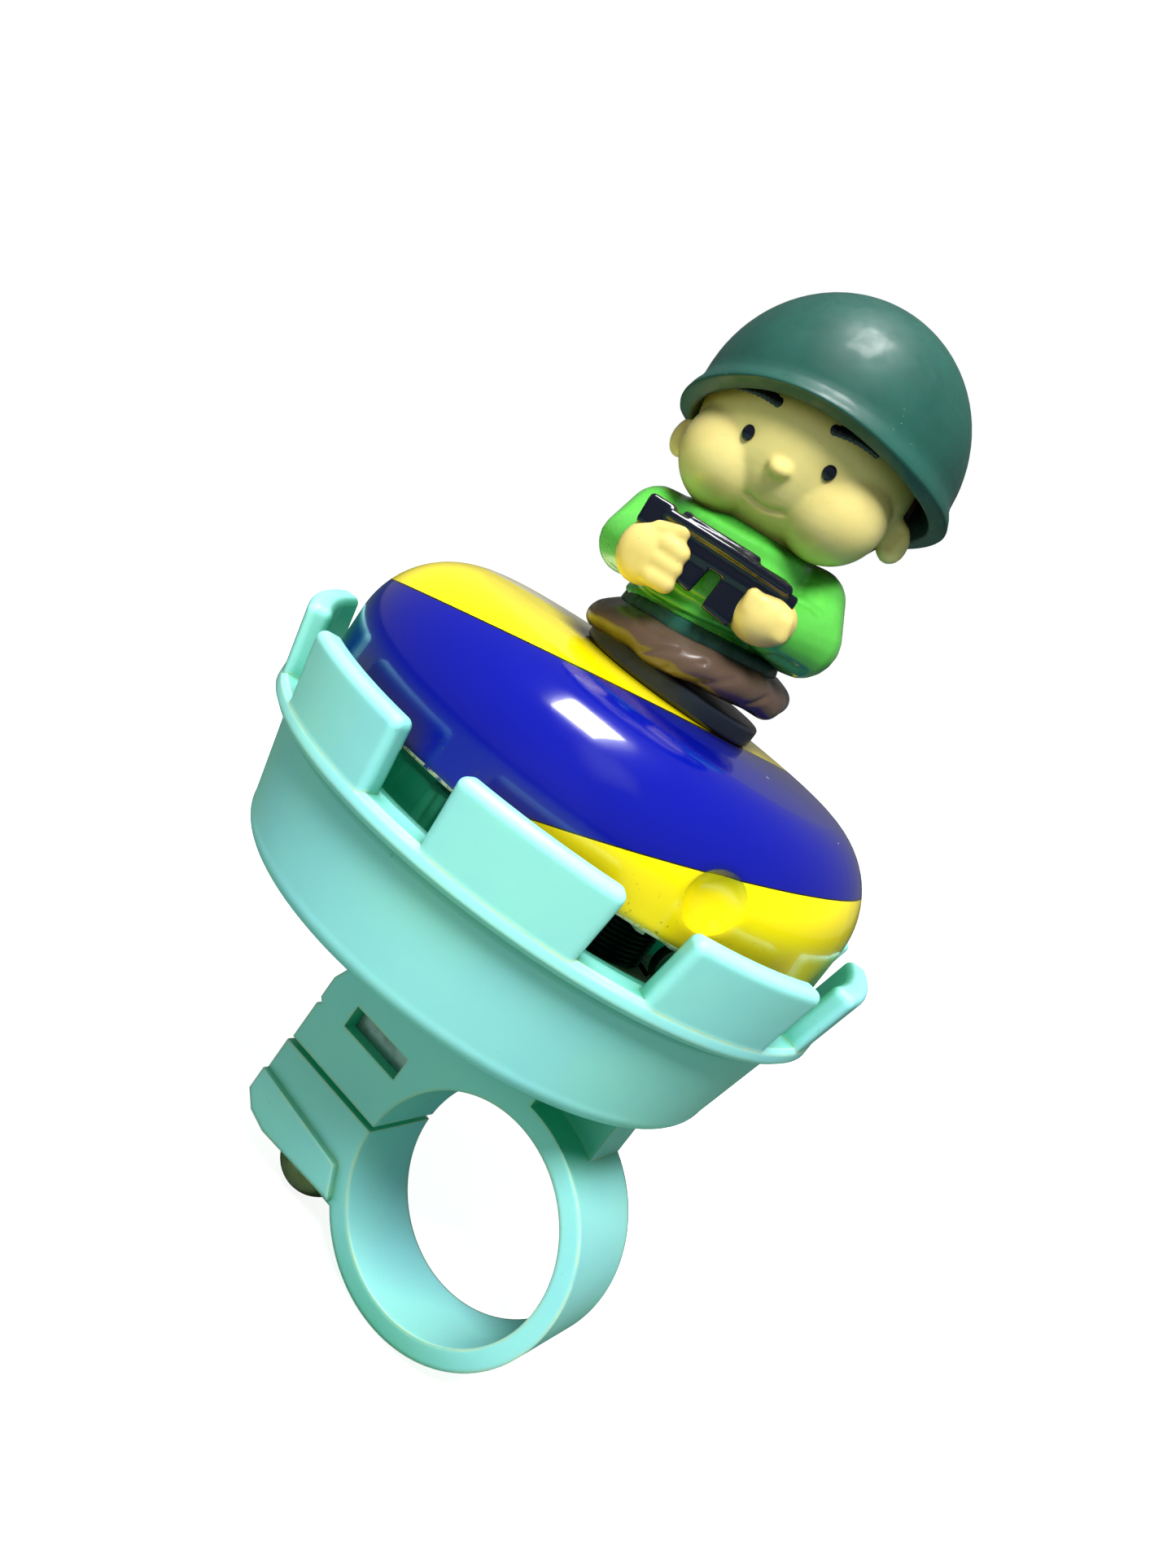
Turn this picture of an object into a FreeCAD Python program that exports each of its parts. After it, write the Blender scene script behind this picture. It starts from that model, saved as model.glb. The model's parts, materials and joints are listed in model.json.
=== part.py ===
import FreeCAD, Part
import math
import os

# Ring bell for a bicycle handlebar, with a figure on top.
# Millimetres.  Everything is drawn about the bell's axis, with z = 0 at the lower edge of the
# turning ring.  The export moves it so that the origin is the centre of the clamp's bore,
# +Z runs up the bell's axis and +Y runs along the handlebar.

V = FreeCAD.Vector

# Handlebar clamp
bar_diameter = 22.2
strap_wall = 2.0
strap_width = 10.0
bore_offset = 15.4
bore_drop = 30.0
lug_left = 8.2
lug_split = 0.6
upper_lug_height = 12.0
lower_lug_height = 8.2
gusset_right = 21.3
gusset_depth = 6.0
pad_rise = 0.7
pad_height = 4.6

# Clamp fasteners (M4)
screw_diameter = 4.0
screw_hole_gap = 0.15
screw_beside_strap = 2.9
screw_past_nut = 1.2
screw_hole_past_nut = 2.6
driver_slot = 1.0
driver_slot_depth = 1.2
screw_head_diameter = 8.0
screw_head_height = 4.4
bracket_screw_radius = 1.3
bracket_screw_head = 2.34
bracket_screw_head_height = 1.4
bracket_screw_x = 9.4
bracket_screw_inset = 3.3
bracket_screw_bite = 1.0
nut_side = 7.0
nut_height = 2.2
nut_slot_gap = 0.2
nut_below_lip = 23.85

# Cup
cup_height = 12.1
cup_top_radius = 27.3
cup_bottom_radius = 25.4
cup_wall = 1.3
cup_floor = 2.2
cup_edge_radius = 1.8
cup_land = 1.7
boss_radius = 6.0
screw_boss_radius = 2.6

# Turning ring
ring_band_radius = 29.3
ring_floor_top = 1.8
ring_floor_wall = 1.0
ring_inner_radius = 26.5
ring_ledge_drop = 0.5
skirt_radius = 25.0
skirt_wall = 0.8
running_gap = 0.1
tab_count = 9
tab_angle = 28.0
tab_first_azimuth = -67.2
tab_top = 8.2
tab_foot_radius = 29.2
tab_top_radius = 30.6
tab_wall = 2.3
tab_corner = 0.75
ring_travel = 36.0

# Gears
module = 1.0
pressure_angle = 25.0
addendum = 0.8
dedendum = 1.05
backlash = 0.16
ring_teeth = 44
idler_pinion_teeth = 17
idler_wheel_teeth = 18
spinner_teeth = 9
idler_azimuth = -38.0
sector_margin = 12.0
gear_bottom = -3.0
pinion_height = 2.0
hub_length = 5.3
wheel_height = 1.6
gear_side_gap = 0.2

# Mechanism deck
deck_thickness = 1.2
deck_top = -5.4
deck_gap = 0.3
hook_azimuths = (18.0, 92.8, 172.8, 252.8)
hook_angle = 7.0
hook_wall = 1.2
hook_gap = 0.3
hook_lip = 0.8
stop_margin = 0.7
drum_radius = 22.2
drum_wall = 1.2
drum_start = -125.0
drum_end = -89.0
drum_height = 9.0
deck_screw_azimuths = (40.0, 160.0, 280.0)
deck_screw_radius = 17.0
deck_screw_diameter = 2.2

# Posts
journal_diameter = 5.0
journal_gap = 0.05
stud_diameter = 4.0
post_shoulder_diameter = 7.0
post_flange_diameter = 11.0
idler_journal_diameter = 3.0
clip_thickness = 0.6
post_end = 0.25
clip_play = 0.1
clip_bite = 0.4
clip_rim = 1.8
idler_clip_bite = 0.3
idler_clip_rim = 1.5
journal_above_clip = 0.3
stud_in_figure = 3.2

# Return spring and the bracket that holds its fixed leg
spring_radius = 5.2
spring_wire = 0.42
spring_pitch = 0.46
spring_turns = 9
spring_hub_gap = 0.5
anchor_foot = (19.6, -0.4)
anchor_tip = (16.4, -7.0)
anchor_plate = 1.0
anchor_height = 4.0

# Spinner and strikers
arm_thickness = 1.2
arm_width = 9.0
pin_orbit = 15.5
pin_diameter = 3.0
rivet_height = 0.3
striker_diameter = 14.0
striker_hole = 6.0
striker_thickness = 2.6
striker_gap = 0.4
arms_azimuth = 20.0

# Dome
dome_radius = 26.4
dome_rim = 5.5
dome_top = 18.4
dome_wall = 0.8
dome_shoulder = 8.6
dome_crown_rise = 0.5
dome_flat_radius = 9.4
dimple_azimuth = -38.0
dimple_height = 10.2
dimple_sphere = 3.4
dimple_depth = 1.6
spacer_diameter = 9.0
dome_nut_flats = 7.0
dome_nut_height = 1.8

# Figure
disc_radius = 8.8
disc_height = 2.0
figure_turn = 24.85
figure_lean = 8.0
head_turn = -9.0
trouser_radius = 10.0
waist_radius = 7.7
trouser_height = 4.4
torso_radius = 8.2
torso_middle = 8.6
torso_bottom = 2.0
torso_shift = -0.6
torso_bottom_radius = 7.0
neck_radius = 6.4
neck_height = 13.9
shoulder_height = 10.4
shoulder_reach = 7.9
shoulder_forward = 1.2
shoulder_radius = 3.5
cuff_radius = 2.7
head_radius = 9.9
head_middle = 22.6
head_shift = 0.8
ear_radius = 2.1
ear_drop = 4.0
nose_radius = 0.95
nose_drop = 2.2
hair_thickness = 0.6
hair_drop = 3.6
helmet_radius = 12.2
helmet_wall = 1.2
helmet_brim = 21.9
helmet_rise = 1.5
helmet_tilt = 12.0
hand_spread = 5.2
hand_shift = -1.35
hand_radius = 2.7
hand_forward = 9.0
hand_height = 8.0
gun_length = 13.6
gun_height = 2.2
gun_thickness = 1.8
gun_line = 10.6
gun_left = -8.8
magazine_width = 2.1
magazine_drop = 2.6

# Sizes that follow from the ones above
bar_radius = bar_diameter / 2
strap_radius = bar_radius + strap_wall
screw_x = bore_offset - strap_radius - screw_beside_strap
half_width = strap_width / 2
cup_bottom = ring_floor_top - ring_floor_wall - running_gap - cup_height
cup_top = cup_bottom + cup_height
deck_bottom = deck_top - deck_thickness
idler_orbit = module * (ring_teeth - idler_pinion_teeth) / 2
pinion_top = gear_bottom + pinion_height
wheel_bottom = pinion_top + hub_length
wheel_top = wheel_bottom + wheel_height
spinner_bottom = wheel_bottom - gear_side_gap
skirt_bottom = gear_bottom - gear_side_gap
arm_bottom = wheel_top + 1.4
arm_top = arm_bottom + arm_thickness
striker_bottom = arm_top + striker_gap
striker_top = striker_bottom + striker_thickness
spring_bottom = pinion_top + 0.15 + spring_wire / 2
spoke_azimuth = idler_azimuth + 60.0
disc_top = dome_top + disc_height
figure_base = disc_top


def polar(radius, azimuth, z=0.0):
    angle = math.radians(azimuth)
    return V(radius * math.cos(angle), radius * math.sin(angle), z)


def cylinder(radius, bottom, top, centre=V(0, 0, 0)):
    return Part.makeCylinder(radius, top - bottom, V(centre.x, centre.y, bottom))


def tube(outer, inner, bottom, top, centre=V(0, 0, 0)):
    return cylinder(outer, bottom, top, centre).cut(cylinder(inner, bottom, top, centre))


def turned(points, sweep=360.0):
    """Solid turned about the bell's axis from (radius, z) points."""
    outline = Part.makePolygon([V(r, 0, z) for r, z in points + [points[0]]])
    return Part.Face(outline).revolve(V(0, 0, 0), V(0, 0, 1), sweep)


def arc_block(inner, outer, bottom, top, start, end):
    """Part of a ring between two azimuths."""
    block = turned([(inner, bottom), (outer, bottom), (outer, top), (inner, top)], end - start)
    block.rotate(V(0, 0, 0), V(0, 0, 1), start)
    return block


def side_plate(wire_edges, front, back):
    """Outline in the XZ plane, pushed from y = front to y = back."""
    face = Part.Face(Part.Wire(wire_edges))
    face.translate(V(0, front, 0))
    return face.extrude(V(0, back - front, 0))


def polygon_edges(points):
    corners = [V(x, 0, z) for x, z in points]
    return [Part.LineSegment(a, b).toShape() for a, b in zip(corners, corners[1:] + corners[:1])]


def box(x0, x1, y0, y1, z0, z1):
    return Part.makeBox(x1 - x0, y1 - y0, z1 - z0, V(x0, y0, z0))


def fuse_all(shapes):
    whole = shapes[0].multiFuse(shapes[1:])
    return whole.removeSplitter()


def involute(angle):
    return math.tan(angle) - angle


def gear_outline(teeth, root_radius, tip_radius, thickness):
    """Closed wire of an involute gear with its first tooth on +X."""
    pitch_radius = module * teeth / 2
    pressure = math.radians(pressure_angle)
    base_radius = pitch_radius * math.cos(pressure)
    flank_start = max(root_radius, base_radius)
    steps = 5

    def half_angle(radius):
        at_radius = math.acos(min(1.0, base_radius / radius))
        return thickness / 2 / pitch_radius + involute(pressure) - involute(at_radius)

    def at(radius, angle):
        return V(radius * math.cos(angle), radius * math.sin(angle), 0)

    radii = [flank_start + (tip_radius - flank_start) * i / steps for i in range(steps + 1)]
    edges = []
    for tooth in range(teeth):
        middle = 2 * math.pi * tooth / teeth
        rising = [at(r, middle - half_angle(r)) for r in radii]
        falling = [at(r, middle + half_angle(r)) for r in reversed(radii)]
        foot_angle = half_angle(flank_start)
        if root_radius < flank_start:
            foot = at(root_radius, middle - foot_angle)
            edges.append(Part.LineSegment(foot, rising[0]).toShape())
        flank = Part.BSplineCurve()
        flank.interpolate(rising)
        edges.append(flank.toShape())
        edges.append(Part.Arc(rising[-1], at(tip_radius, middle), falling[0]).toShape())
        flank = Part.BSplineCurve()
        flank.interpolate(falling)
        edges.append(flank.toShape())
        if root_radius < flank_start:
            foot = at(root_radius, middle + foot_angle)
            edges.append(Part.LineSegment(falling[-1], foot).toShape())
        next_middle = middle + 2 * math.pi / teeth
        valley = [at(root_radius, middle + foot_angle), at(root_radius, middle + math.pi / teeth),
                  at(root_radius, next_middle - foot_angle)]
        edges.append(Part.Arc(*valley).toShape())
    return Part.Wire(edges)


def gear(teeth, bottom, top, first_tooth):
    """External gear with the teeth thinned by half the backlash."""
    pitch_radius = module * teeth / 2
    thickness = math.pi * module / 2 - backlash / 2
    wire = gear_outline(teeth, pitch_radius - dedendum, pitch_radius + addendum, thickness)
    solid = Part.Face(wire).extrude(V(0, 0, top - bottom))
    solid.rotate(V(0, 0, 0), V(0, 0, 1), first_tooth)
    solid.translate(V(0, 0, bottom))
    return solid


def cup_inner_radius(height):
    """Radius of the cup's tapered inner wall at a height below the land."""
    land_bottom = cup_top - cup_land
    floor_top = cup_bottom + cup_floor
    share = (height - floor_top) / (land_bottom - floor_top)
    low = cup_bottom_radius - cup_wall
    return low + (cup_top_radius - cup_wall - low) * share


def base_cup():
    """Tapered cup with a rounded lower edge and the bosses that carry the deck."""
    r = cup_edge_radius
    land_bottom = cup_top - cup_land
    outer = [V(0, 0, cup_bottom), V(cup_bottom_radius - r, 0, cup_bottom),
             V(cup_bottom_radius, 0, cup_bottom + r), V(cup_top_radius, 0, land_bottom),
             V(cup_top_radius, 0, cup_top)]
    bend = V(cup_bottom_radius - r + r * math.sin(math.pi / 4), 0,
             cup_bottom + r - r * math.cos(math.pi / 4))
    inner_floor = cup_bottom + cup_floor
    inner = [V(cup_top_radius - cup_wall, 0, cup_top), V(cup_top_radius - cup_wall, 0, land_bottom),
             V(cup_bottom_radius - cup_wall, 0, inner_floor), V(0, 0, inner_floor)]
    edges = [Part.LineSegment(outer[0], outer[1]).toShape(),
             Part.Arc(outer[1], bend, outer[2]).toShape()]
    chain = outer[2:] + inner + outer[:1]
    edges += [Part.LineSegment(a, b).toShape() for a, b in zip(chain, chain[1:])]
    cup = Part.Face(Part.Wire(edges)).revolve(V(0, 0, 0), V(0, 0, 1), 360)
    bosses = [cylinder(boss_radius, inner_floor - 0.5, deck_bottom)]
    for azimuth in deck_screw_azimuths:
        bosses.append(cylinder(screw_boss_radius, inner_floor - 0.5, deck_bottom,
                               polar(deck_screw_radius, azimuth)))
    cup = fuse_all([cup] + bosses)
    cup = cup.cut(cylinder(journal_diameter / 2, inner_floor, deck_bottom))
    for azimuth in deck_screw_azimuths:
        place = polar(deck_screw_radius, azimuth)
        cup = cup.cut(cylinder(deck_screw_diameter / 2, inner_floor + 0.5, deck_bottom, place))
    for place in bracket_screw_places():
        cup = cup.cut(cylinder(bracket_screw_radius, cup_bottom, inner_floor, place))
    return cup


def bracket_screw_places():
    plate_middle = half_width - gusset_depth / 2
    return [V(bracket_screw_x, 0, 0), V(gusset_right - bracket_screw_inset, plate_middle, 0)]


def bracket_screw_tip():
    beside_bore = gusset_right - bracket_screw_inset - bore_offset
    return -bore_drop + math.sqrt(strap_radius ** 2 - beside_bore ** 2) + bracket_screw_bite


def bracket_screws():
    """The two screws that hold the bracket under the cup's floor."""
    inner_floor = cup_bottom + cup_floor
    screws = []
    for place in bracket_screw_places():
        shank = cylinder(bracket_screw_radius, bracket_screw_tip(), inner_floor, place)
        head = cylinder(bracket_screw_head, inner_floor, inner_floor + bracket_screw_head_height,
                        place)
        screws.append(shank.fuse(head).removeSplitter())
    return Part.makeCompound(screws)


def clamp_bracket():
    """Gusset, upper lug, strap and lower lug, moulded in one piece."""
    split_top = -bore_drop + lug_split / 2
    split_bottom = -bore_drop - lug_split / 2
    lug_top = split_top + upper_lug_height - 2.0
    lug_bottom = split_bottom - lower_lug_height
    neck = split_top + 4.6
    upper = [(-lug_left, split_top), (-lug_left, neck - 0.3), (-lug_left + 0.5, neck),
             (-lug_left, neck + 0.4), (-lug_left, lug_top - 2.6), (-lug_left + 0.8, lug_top - 0.8),
             (-lug_left + 2.6, lug_top), (-4.6, lug_top + 1.2), (-4.2, lug_top + 2.6),
             (-4.2, cup_bottom), (gusset_right, cup_bottom), (gusset_right, -bore_drop + 4.0),
             (bore_offset, -bore_drop + 4.0), (bore_offset - bar_radius - 1.0, split_top)]
    body = side_plate(polygon_edges(upper), -half_width, half_width)
    strap = cylinder(strap_radius, -half_width, half_width)
    bore = cylinder(bar_radius, -half_width - 1, half_width + 1)
    for tool in (strap, bore):
        tool.rotate(V(0, 0, 0), V(1, 0, 0), 90)
        tool.translate(V(bore_offset, 0, -bore_drop))
    pocket_left = bore_offset - 0.2
    pocket = box(pocket_left, gusset_right + 1, -half_width - 1, half_width - gusset_depth,
                 -bore_drop, cup_bottom - 1.2)
    pocket = pocket.cut(strap)
    body = body.cut(pocket)
    lower = [(-lug_left - 0.3, split_bottom), (-lug_left - 0.3, lug_bottom + 2.0),
             (-lug_left + 1.2, lug_bottom + 0.6), (-lug_left + 3.6, lug_bottom),
             (bore_offset - strap_radius * 0.75, lug_bottom), (bore_offset, split_bottom)]
    lug = side_plate(polygon_edges(lower), -half_width, half_width)
    pad_top = lug_bottom + pad_height
    pad = [(-lug_left - 0.3, pad_top), (-lug_left - 0.3, lug_bottom + 2.0),
           (-lug_left + 1.2, lug_bottom + 0.6), (-lug_left + 3.6, lug_bottom),
           (bore_offset - strap_radius * 0.78, lug_bottom + 0.6),
           (bore_offset - strap_radius * 0.9, pad_top - 1.0)]
    pad = side_plate(polygon_edges(pad), -half_width - pad_rise, -half_width + 0.5)
    bracket = fuse_all([body, strap, lug, pad])
    bracket = bracket.cut(bore)
    split = box(-lug_left - 2, bore_offset - bar_radius * 0.8, -half_width - 2, half_width + 2,
                split_bottom, split_top)
    bracket = bracket.cut(split)
    hole = cylinder(screw_diameter / 2 + screw_hole_gap, lug_bottom - 1, -nut_below_lip + screw_hole_past_nut,
                    V(screw_x, 0, 0))
    slot = box(screw_x - nut_side / 2 - nut_slot_gap, screw_x + nut_side / 2 + nut_slot_gap,
               -half_width - 2, nut_side / 2 + nut_slot_gap,
               -nut_below_lip - nut_height / 2, -nut_below_lip + nut_height / 2 + nut_slot_gap)
    bracket = bracket.cut(hole).cut(slot)
    for place in bracket_screw_places():
        bracket = bracket.cut(cylinder(bracket_screw_radius, bracket_screw_tip(), cup_bottom + 1, place))
    return bracket


def clamp_screw():
    """Round-headed M4 screw under the lower lug, into the square nut."""
    seat = -bore_drop - lug_split / 2 - lower_lug_height
    tip = -nut_below_lip + nut_height / 2 + screw_past_nut
    axis = V(screw_x, 0, 0)
    shank = cylinder(screw_diameter / 2, seat, tip, axis)
    radius = screw_head_diameter / 2
    ball_radius = (radius ** 2 + screw_head_height ** 2) / (2 * screw_head_height)
    ball = Part.makeSphere(ball_radius, V(screw_x, 0, seat - screw_head_height + ball_radius))
    head = ball.common(cylinder(radius, seat - screw_head_height, seat, axis))
    slot = box(screw_x - radius, screw_x + radius, -driver_slot / 2, driver_slot / 2,
               seat - screw_head_height - 1, seat - screw_head_height + driver_slot_depth)
    return shank.fuse(head).removeSplitter().cut(slot)


def clamp_nut():
    half = nut_side / 2
    middle = -nut_below_lip
    nut = box(screw_x - half, screw_x + half, -half, half, middle - nut_height / 2,
              middle + nut_height / 2)
    return nut.cut(cylinder(screw_diameter / 2, middle - nut_height, middle + nut_height,
                            V(screw_x, 0, 0)))


def ring_tab():
    """One upright tab, centred on +X."""
    foot = ring_floor_top - 0.4
    profile = [(tab_foot_radius - tab_wall, foot), (tab_foot_radius, foot), (tab_top_radius, tab_top),
               (tab_top_radius - tab_wall, tab_top)]
    tab = turned(profile, tab_angle)
    tab = tab.makeFillet(tab_corner, [edge for edge in tab.Edges if edge.BoundBox.ZMax > foot + 0.1])
    tab.rotate(V(0, 0, 0), V(0, 0, 1), -tab_angle / 2)
    return tab


def ring_sector():
    """Internal teeth over the arc that passes the idler."""
    pitch_radius = module * ring_teeth / 2
    sector = arc_block(pitch_radius - addendum, skirt_radius - skirt_wall / 2, skirt_bottom,
                       pinion_top + gear_side_gap / 2, idler_azimuth - ring_travel - sector_margin,
                       idler_azimuth + sector_margin)
    spaces = gear_outline(ring_teeth, pitch_radius - addendum - 0.6, pitch_radius + dedendum,
                          math.pi * module / 2 + backlash / 2)
    spaces = Part.Face(spaces).extrude(V(0, 0, 3 * pinion_height))
    spaces.rotate(V(0, 0, 0), V(0, 0, 1), idler_azimuth)
    spaces.translate(V(0, 0, skirt_bottom - 1))
    return sector.cut(spaces)


def turn_ring():
    """Ring with thumb tabs outside, and inside a skirt with a toothed sector and a stop."""
    floor_bottom = ring_floor_top - ring_floor_wall
    band_inner = cup_top_radius + running_gap
    ledge = ring_floor_top - ring_ledge_drop
    skirt_inner = skirt_radius - skirt_wall
    band = [(band_inner, 0.0), (ring_band_radius - 0.5, 0.0), (ring_band_radius, 0.5),
            (ring_band_radius, ring_floor_top - 0.4), (ring_band_radius - 0.4, ring_floor_top),
            (ring_inner_radius, ring_floor_top), (skirt_radius, ledge), (skirt_inner, ledge),
            (skirt_inner, skirt_bottom), (skirt_radius, skirt_bottom), (skirt_radius, floor_bottom),
            (band_inner, floor_bottom)]
    pieces = [turned(band), ring_sector()]
    for i in range(tab_count):
        tab = ring_tab()
        tab.rotate(V(0, 0, 0), V(0, 0, 1), tab_first_azimuth + i * 360.0 / tab_count)
        pieces.append(tab)
    stop_start = hook_azimuths[1] + hook_angle / 2 + stop_margin
    stop_end = hook_azimuths[2] - hook_angle / 2 - stop_margin - ring_travel
    pieces.append(arc_block(skirt_inner - hook_gap - hook_wall, skirt_inner + skirt_wall / 2,
                            skirt_bottom, ledge, stop_start, stop_end))
    return fuse_all(pieces)


def mechanism_deck():
    """Plate inside the cup that carries the posts; its hooks hold the ring down."""
    pieces = [cylinder(cup_inner_radius(deck_bottom) - deck_gap, deck_bottom, deck_top)]
    lip_bottom = ring_floor_top + running_gap
    outer = skirt_radius - skirt_wall - hook_gap
    for azimuth in hook_azimuths:
        start = azimuth - hook_angle / 2
        end = azimuth + hook_angle / 2
        pieces.append(arc_block(outer - hook_wall, outer, deck_top - 0.2, lip_bottom + hook_lip,
                                start, end))
        pieces.append(arc_block(outer - 0.2, ring_inner_radius - 0.6, lip_bottom,
                                lip_bottom + hook_lip, start, end))
    pieces.append(arc_block(drum_radius - drum_wall, drum_radius, deck_top - 0.2,
                            deck_top + drum_height, drum_start, drum_end))
    for i in range(4):
        rib = drum_start + 3 + i * (drum_end - drum_start - 6) / 3
        pieces.append(arc_block(drum_radius - 0.3, drum_radius + 0.5, deck_top - 0.2,
                                deck_top + drum_height, rib - 1.2, rib + 1.2))
    deck = fuse_all(pieces)
    holes = [cylinder(journal_diameter / 2, deck_bottom - 1, deck_top + 1),
             cylinder(idler_journal_diameter / 2, deck_bottom - 1, deck_top + 1, idler_place())]
    for azimuth in deck_screw_azimuths:
        holes.append(cylinder(deck_screw_diameter / 2, deck_bottom - 1, deck_top + 1,
                              polar(deck_screw_radius, azimuth)))
    for hole in holes:
        deck = deck.cut(hole)
    return deck


def deck_screws():
    screws = []
    for azimuth in deck_screw_azimuths:
        place = polar(deck_screw_radius, azimuth)
        shank = cylinder(deck_screw_diameter / 2, cup_bottom + cup_floor + 0.6, deck_top, place)
        head = cylinder(deck_screw_diameter, deck_top, deck_top + 0.8, place)
        slot = box(place.x - 2.5, place.x + 2.5, place.y - 0.25, place.y + 0.25,
                   deck_top + 0.4, deck_top + 1)
        screws.append(shank.fuse(head).removeSplitter().cut(slot))
    return Part.makeCompound(screws)


def idler_place():
    return polar(idler_orbit, idler_azimuth)


def centre_post():
    """Fixed stud: flange on the deck, journal for the spinner, thread for dome and figure."""
    journal_top = arm_top + clip_thickness + journal_above_clip
    stud_top = figure_base + stud_in_figure
    post = fuse_all([cylinder(journal_diameter / 2, cup_bottom + cup_floor, deck_top),
                     cylinder(post_flange_diameter / 2, deck_top, deck_top + 0.8),
                     cylinder(post_shoulder_diameter / 2, deck_top + 0.7, spinner_bottom - 0.1),
                     cylinder(journal_diameter / 2, spinner_bottom - 0.2, journal_top),
                     cylinder(stud_diameter / 2, journal_top - 0.1, stud_top)])
    groove = tube(journal_diameter / 2 + 1, journal_diameter / 2 - clip_bite, arm_top + clip_play,
                  arm_top + clip_play + clip_thickness)
    return post.cut(groove)


def e_clip(inner, outer, bottom, centre):
    """Retaining clip: a flat ring with an open mouth."""
    clip = tube(outer, inner, bottom, bottom + clip_thickness, centre)
    mouth = box(centre.x, centre.x + outer + 1, centre.y - inner * 0.8, centre.y + inner * 0.8,
                bottom - 1, bottom + clip_thickness + 1)
    return clip.cut(mouth)


def spinner_clip():
    return e_clip(journal_diameter / 2 - clip_bite, journal_diameter / 2 + clip_rim,
                  arm_top + clip_play, V(0, 0, 0))


def idler_post():
    centre = idler_place()
    radius = idler_journal_diameter / 2
    top = wheel_top + clip_thickness + post_end
    post = fuse_all([cylinder(radius, deck_bottom - 0.5, top, centre),
                     cylinder(radius + 1.4, deck_top, gear_bottom - 0.1, centre),
                     cylinder(radius + 0.8, deck_bottom - 0.6, deck_bottom, centre)])
    return post.cut(tube(radius + 1, radius - idler_clip_bite, wheel_top + clip_play,
                         wheel_top + clip_play + clip_thickness, centre))


def idler_clip():
    radius = idler_journal_diameter / 2
    return e_clip(radius - idler_clip_bite, radius + idler_clip_rim, wheel_top + clip_play, idler_place())


def idler_gear():
    """Pinion in the ring's sector, hub inside the spring, and the wheel for the spinner."""
    pinion = gear(idler_pinion_teeth, gear_bottom, pinion_top, idler_azimuth)
    wheel_turn = idler_azimuth + 180.0 + 180.0 / idler_wheel_teeth
    wheel = gear(idler_wheel_teeth, wheel_bottom, wheel_top, wheel_turn)
    hub = cylinder(spring_radius - spring_wire / 2 - spring_hub_gap, pinion_top - 0.2,
                   wheel_bottom + 0.2)
    body = fuse_all([pinion, wheel, hub])
    body = body.cut(cylinder(idler_journal_diameter / 2 + journal_gap, gear_bottom - 1, wheel_top + 1))
    for i in range(3):
        hole = cylinder(spring_wire, wheel_bottom - 0.5, wheel_top + 1,
                        polar(spring_radius, spoke_azimuth + 120 * i))
        body = body.cut(hole)
    body.translate(idler_place())
    return body


def spinner():
    """Driven pinion with a cross arm; the strikers hang on its two pins."""
    pinion = gear(spinner_teeth, spinner_bottom, wheel_top + 0.2, idler_azimuth)
    hub = cylinder(3.7, wheel_top, arm_top)
    half = arm_width / 2
    bar = box(-pin_orbit, pin_orbit, -half, half, arm_bottom, arm_top)
    waist = [cylinder(5.5, arm_bottom - 1, arm_top + 1, V(0, sign * (half + 4.6), 0))
             for sign in (-1, 1)]
    arms = fuse_all([bar, cylinder(half, arm_bottom, arm_top, V(pin_orbit, 0, 0)),
                     cylinder(half, arm_bottom, arm_top, V(-pin_orbit, 0, 0))])
    for tool in waist:
        arms = arms.cut(tool)
    for x in (-pin_orbit, pin_orbit):
        arms = arms.cut(cylinder(pin_diameter / 2 - 0.5, arm_bottom - 1, arm_top + 1, V(x, 0, 0)))
    arms.rotate(V(0, 0, 0), V(0, 0, 1), arms_azimuth)
    body = fuse_all([pinion, hub, arms])
    return body.cut(cylinder(journal_diameter / 2 + journal_gap, 0, 20))


def striker_pins():
    """Two shouldered pins riveted into the spinner's arms, with wide heads."""
    pins = []
    radius = pin_diameter / 2
    for azimuth in (arms_azimuth, arms_azimuth + 180):
        place = polar(pin_orbit, azimuth)
        head_bottom = striker_top + striker_gap
        pins.append(fuse_all([cylinder(radius - 0.5, arm_bottom, arm_top, place),
                              cylinder(radius, arm_top, head_bottom, place),
                              cylinder(striker_hole / 2 + 0.6, head_bottom, head_bottom + 0.7, place),
                              cylinder(radius, arm_bottom - rivet_height, arm_bottom, place)]))
    return Part.makeCompound(pins)


def striker(azimuth):
    """Heavy loose washer that swings out against the dome's dimple."""
    place = polar(pin_orbit, azimuth)
    washer = tube(striker_diameter / 2, striker_hole / 2, striker_bottom, striker_top, place)
    rims = [edge for edge in washer.Edges
            if edge.Curve.TypeId == "Part::GeomCircle" and edge.Curve.Radius > striker_hole / 2 + 0.1]
    return washer.makeChamfer(0.4, rims)


def striker_left():
    return striker(arms_azimuth + 180)


def striker_right():
    return striker(arms_azimuth)


def anchor_points():
    return V(anchor_foot[0], anchor_foot[1], 0), V(anchor_tip[0], anchor_tip[1], 0)


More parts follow.
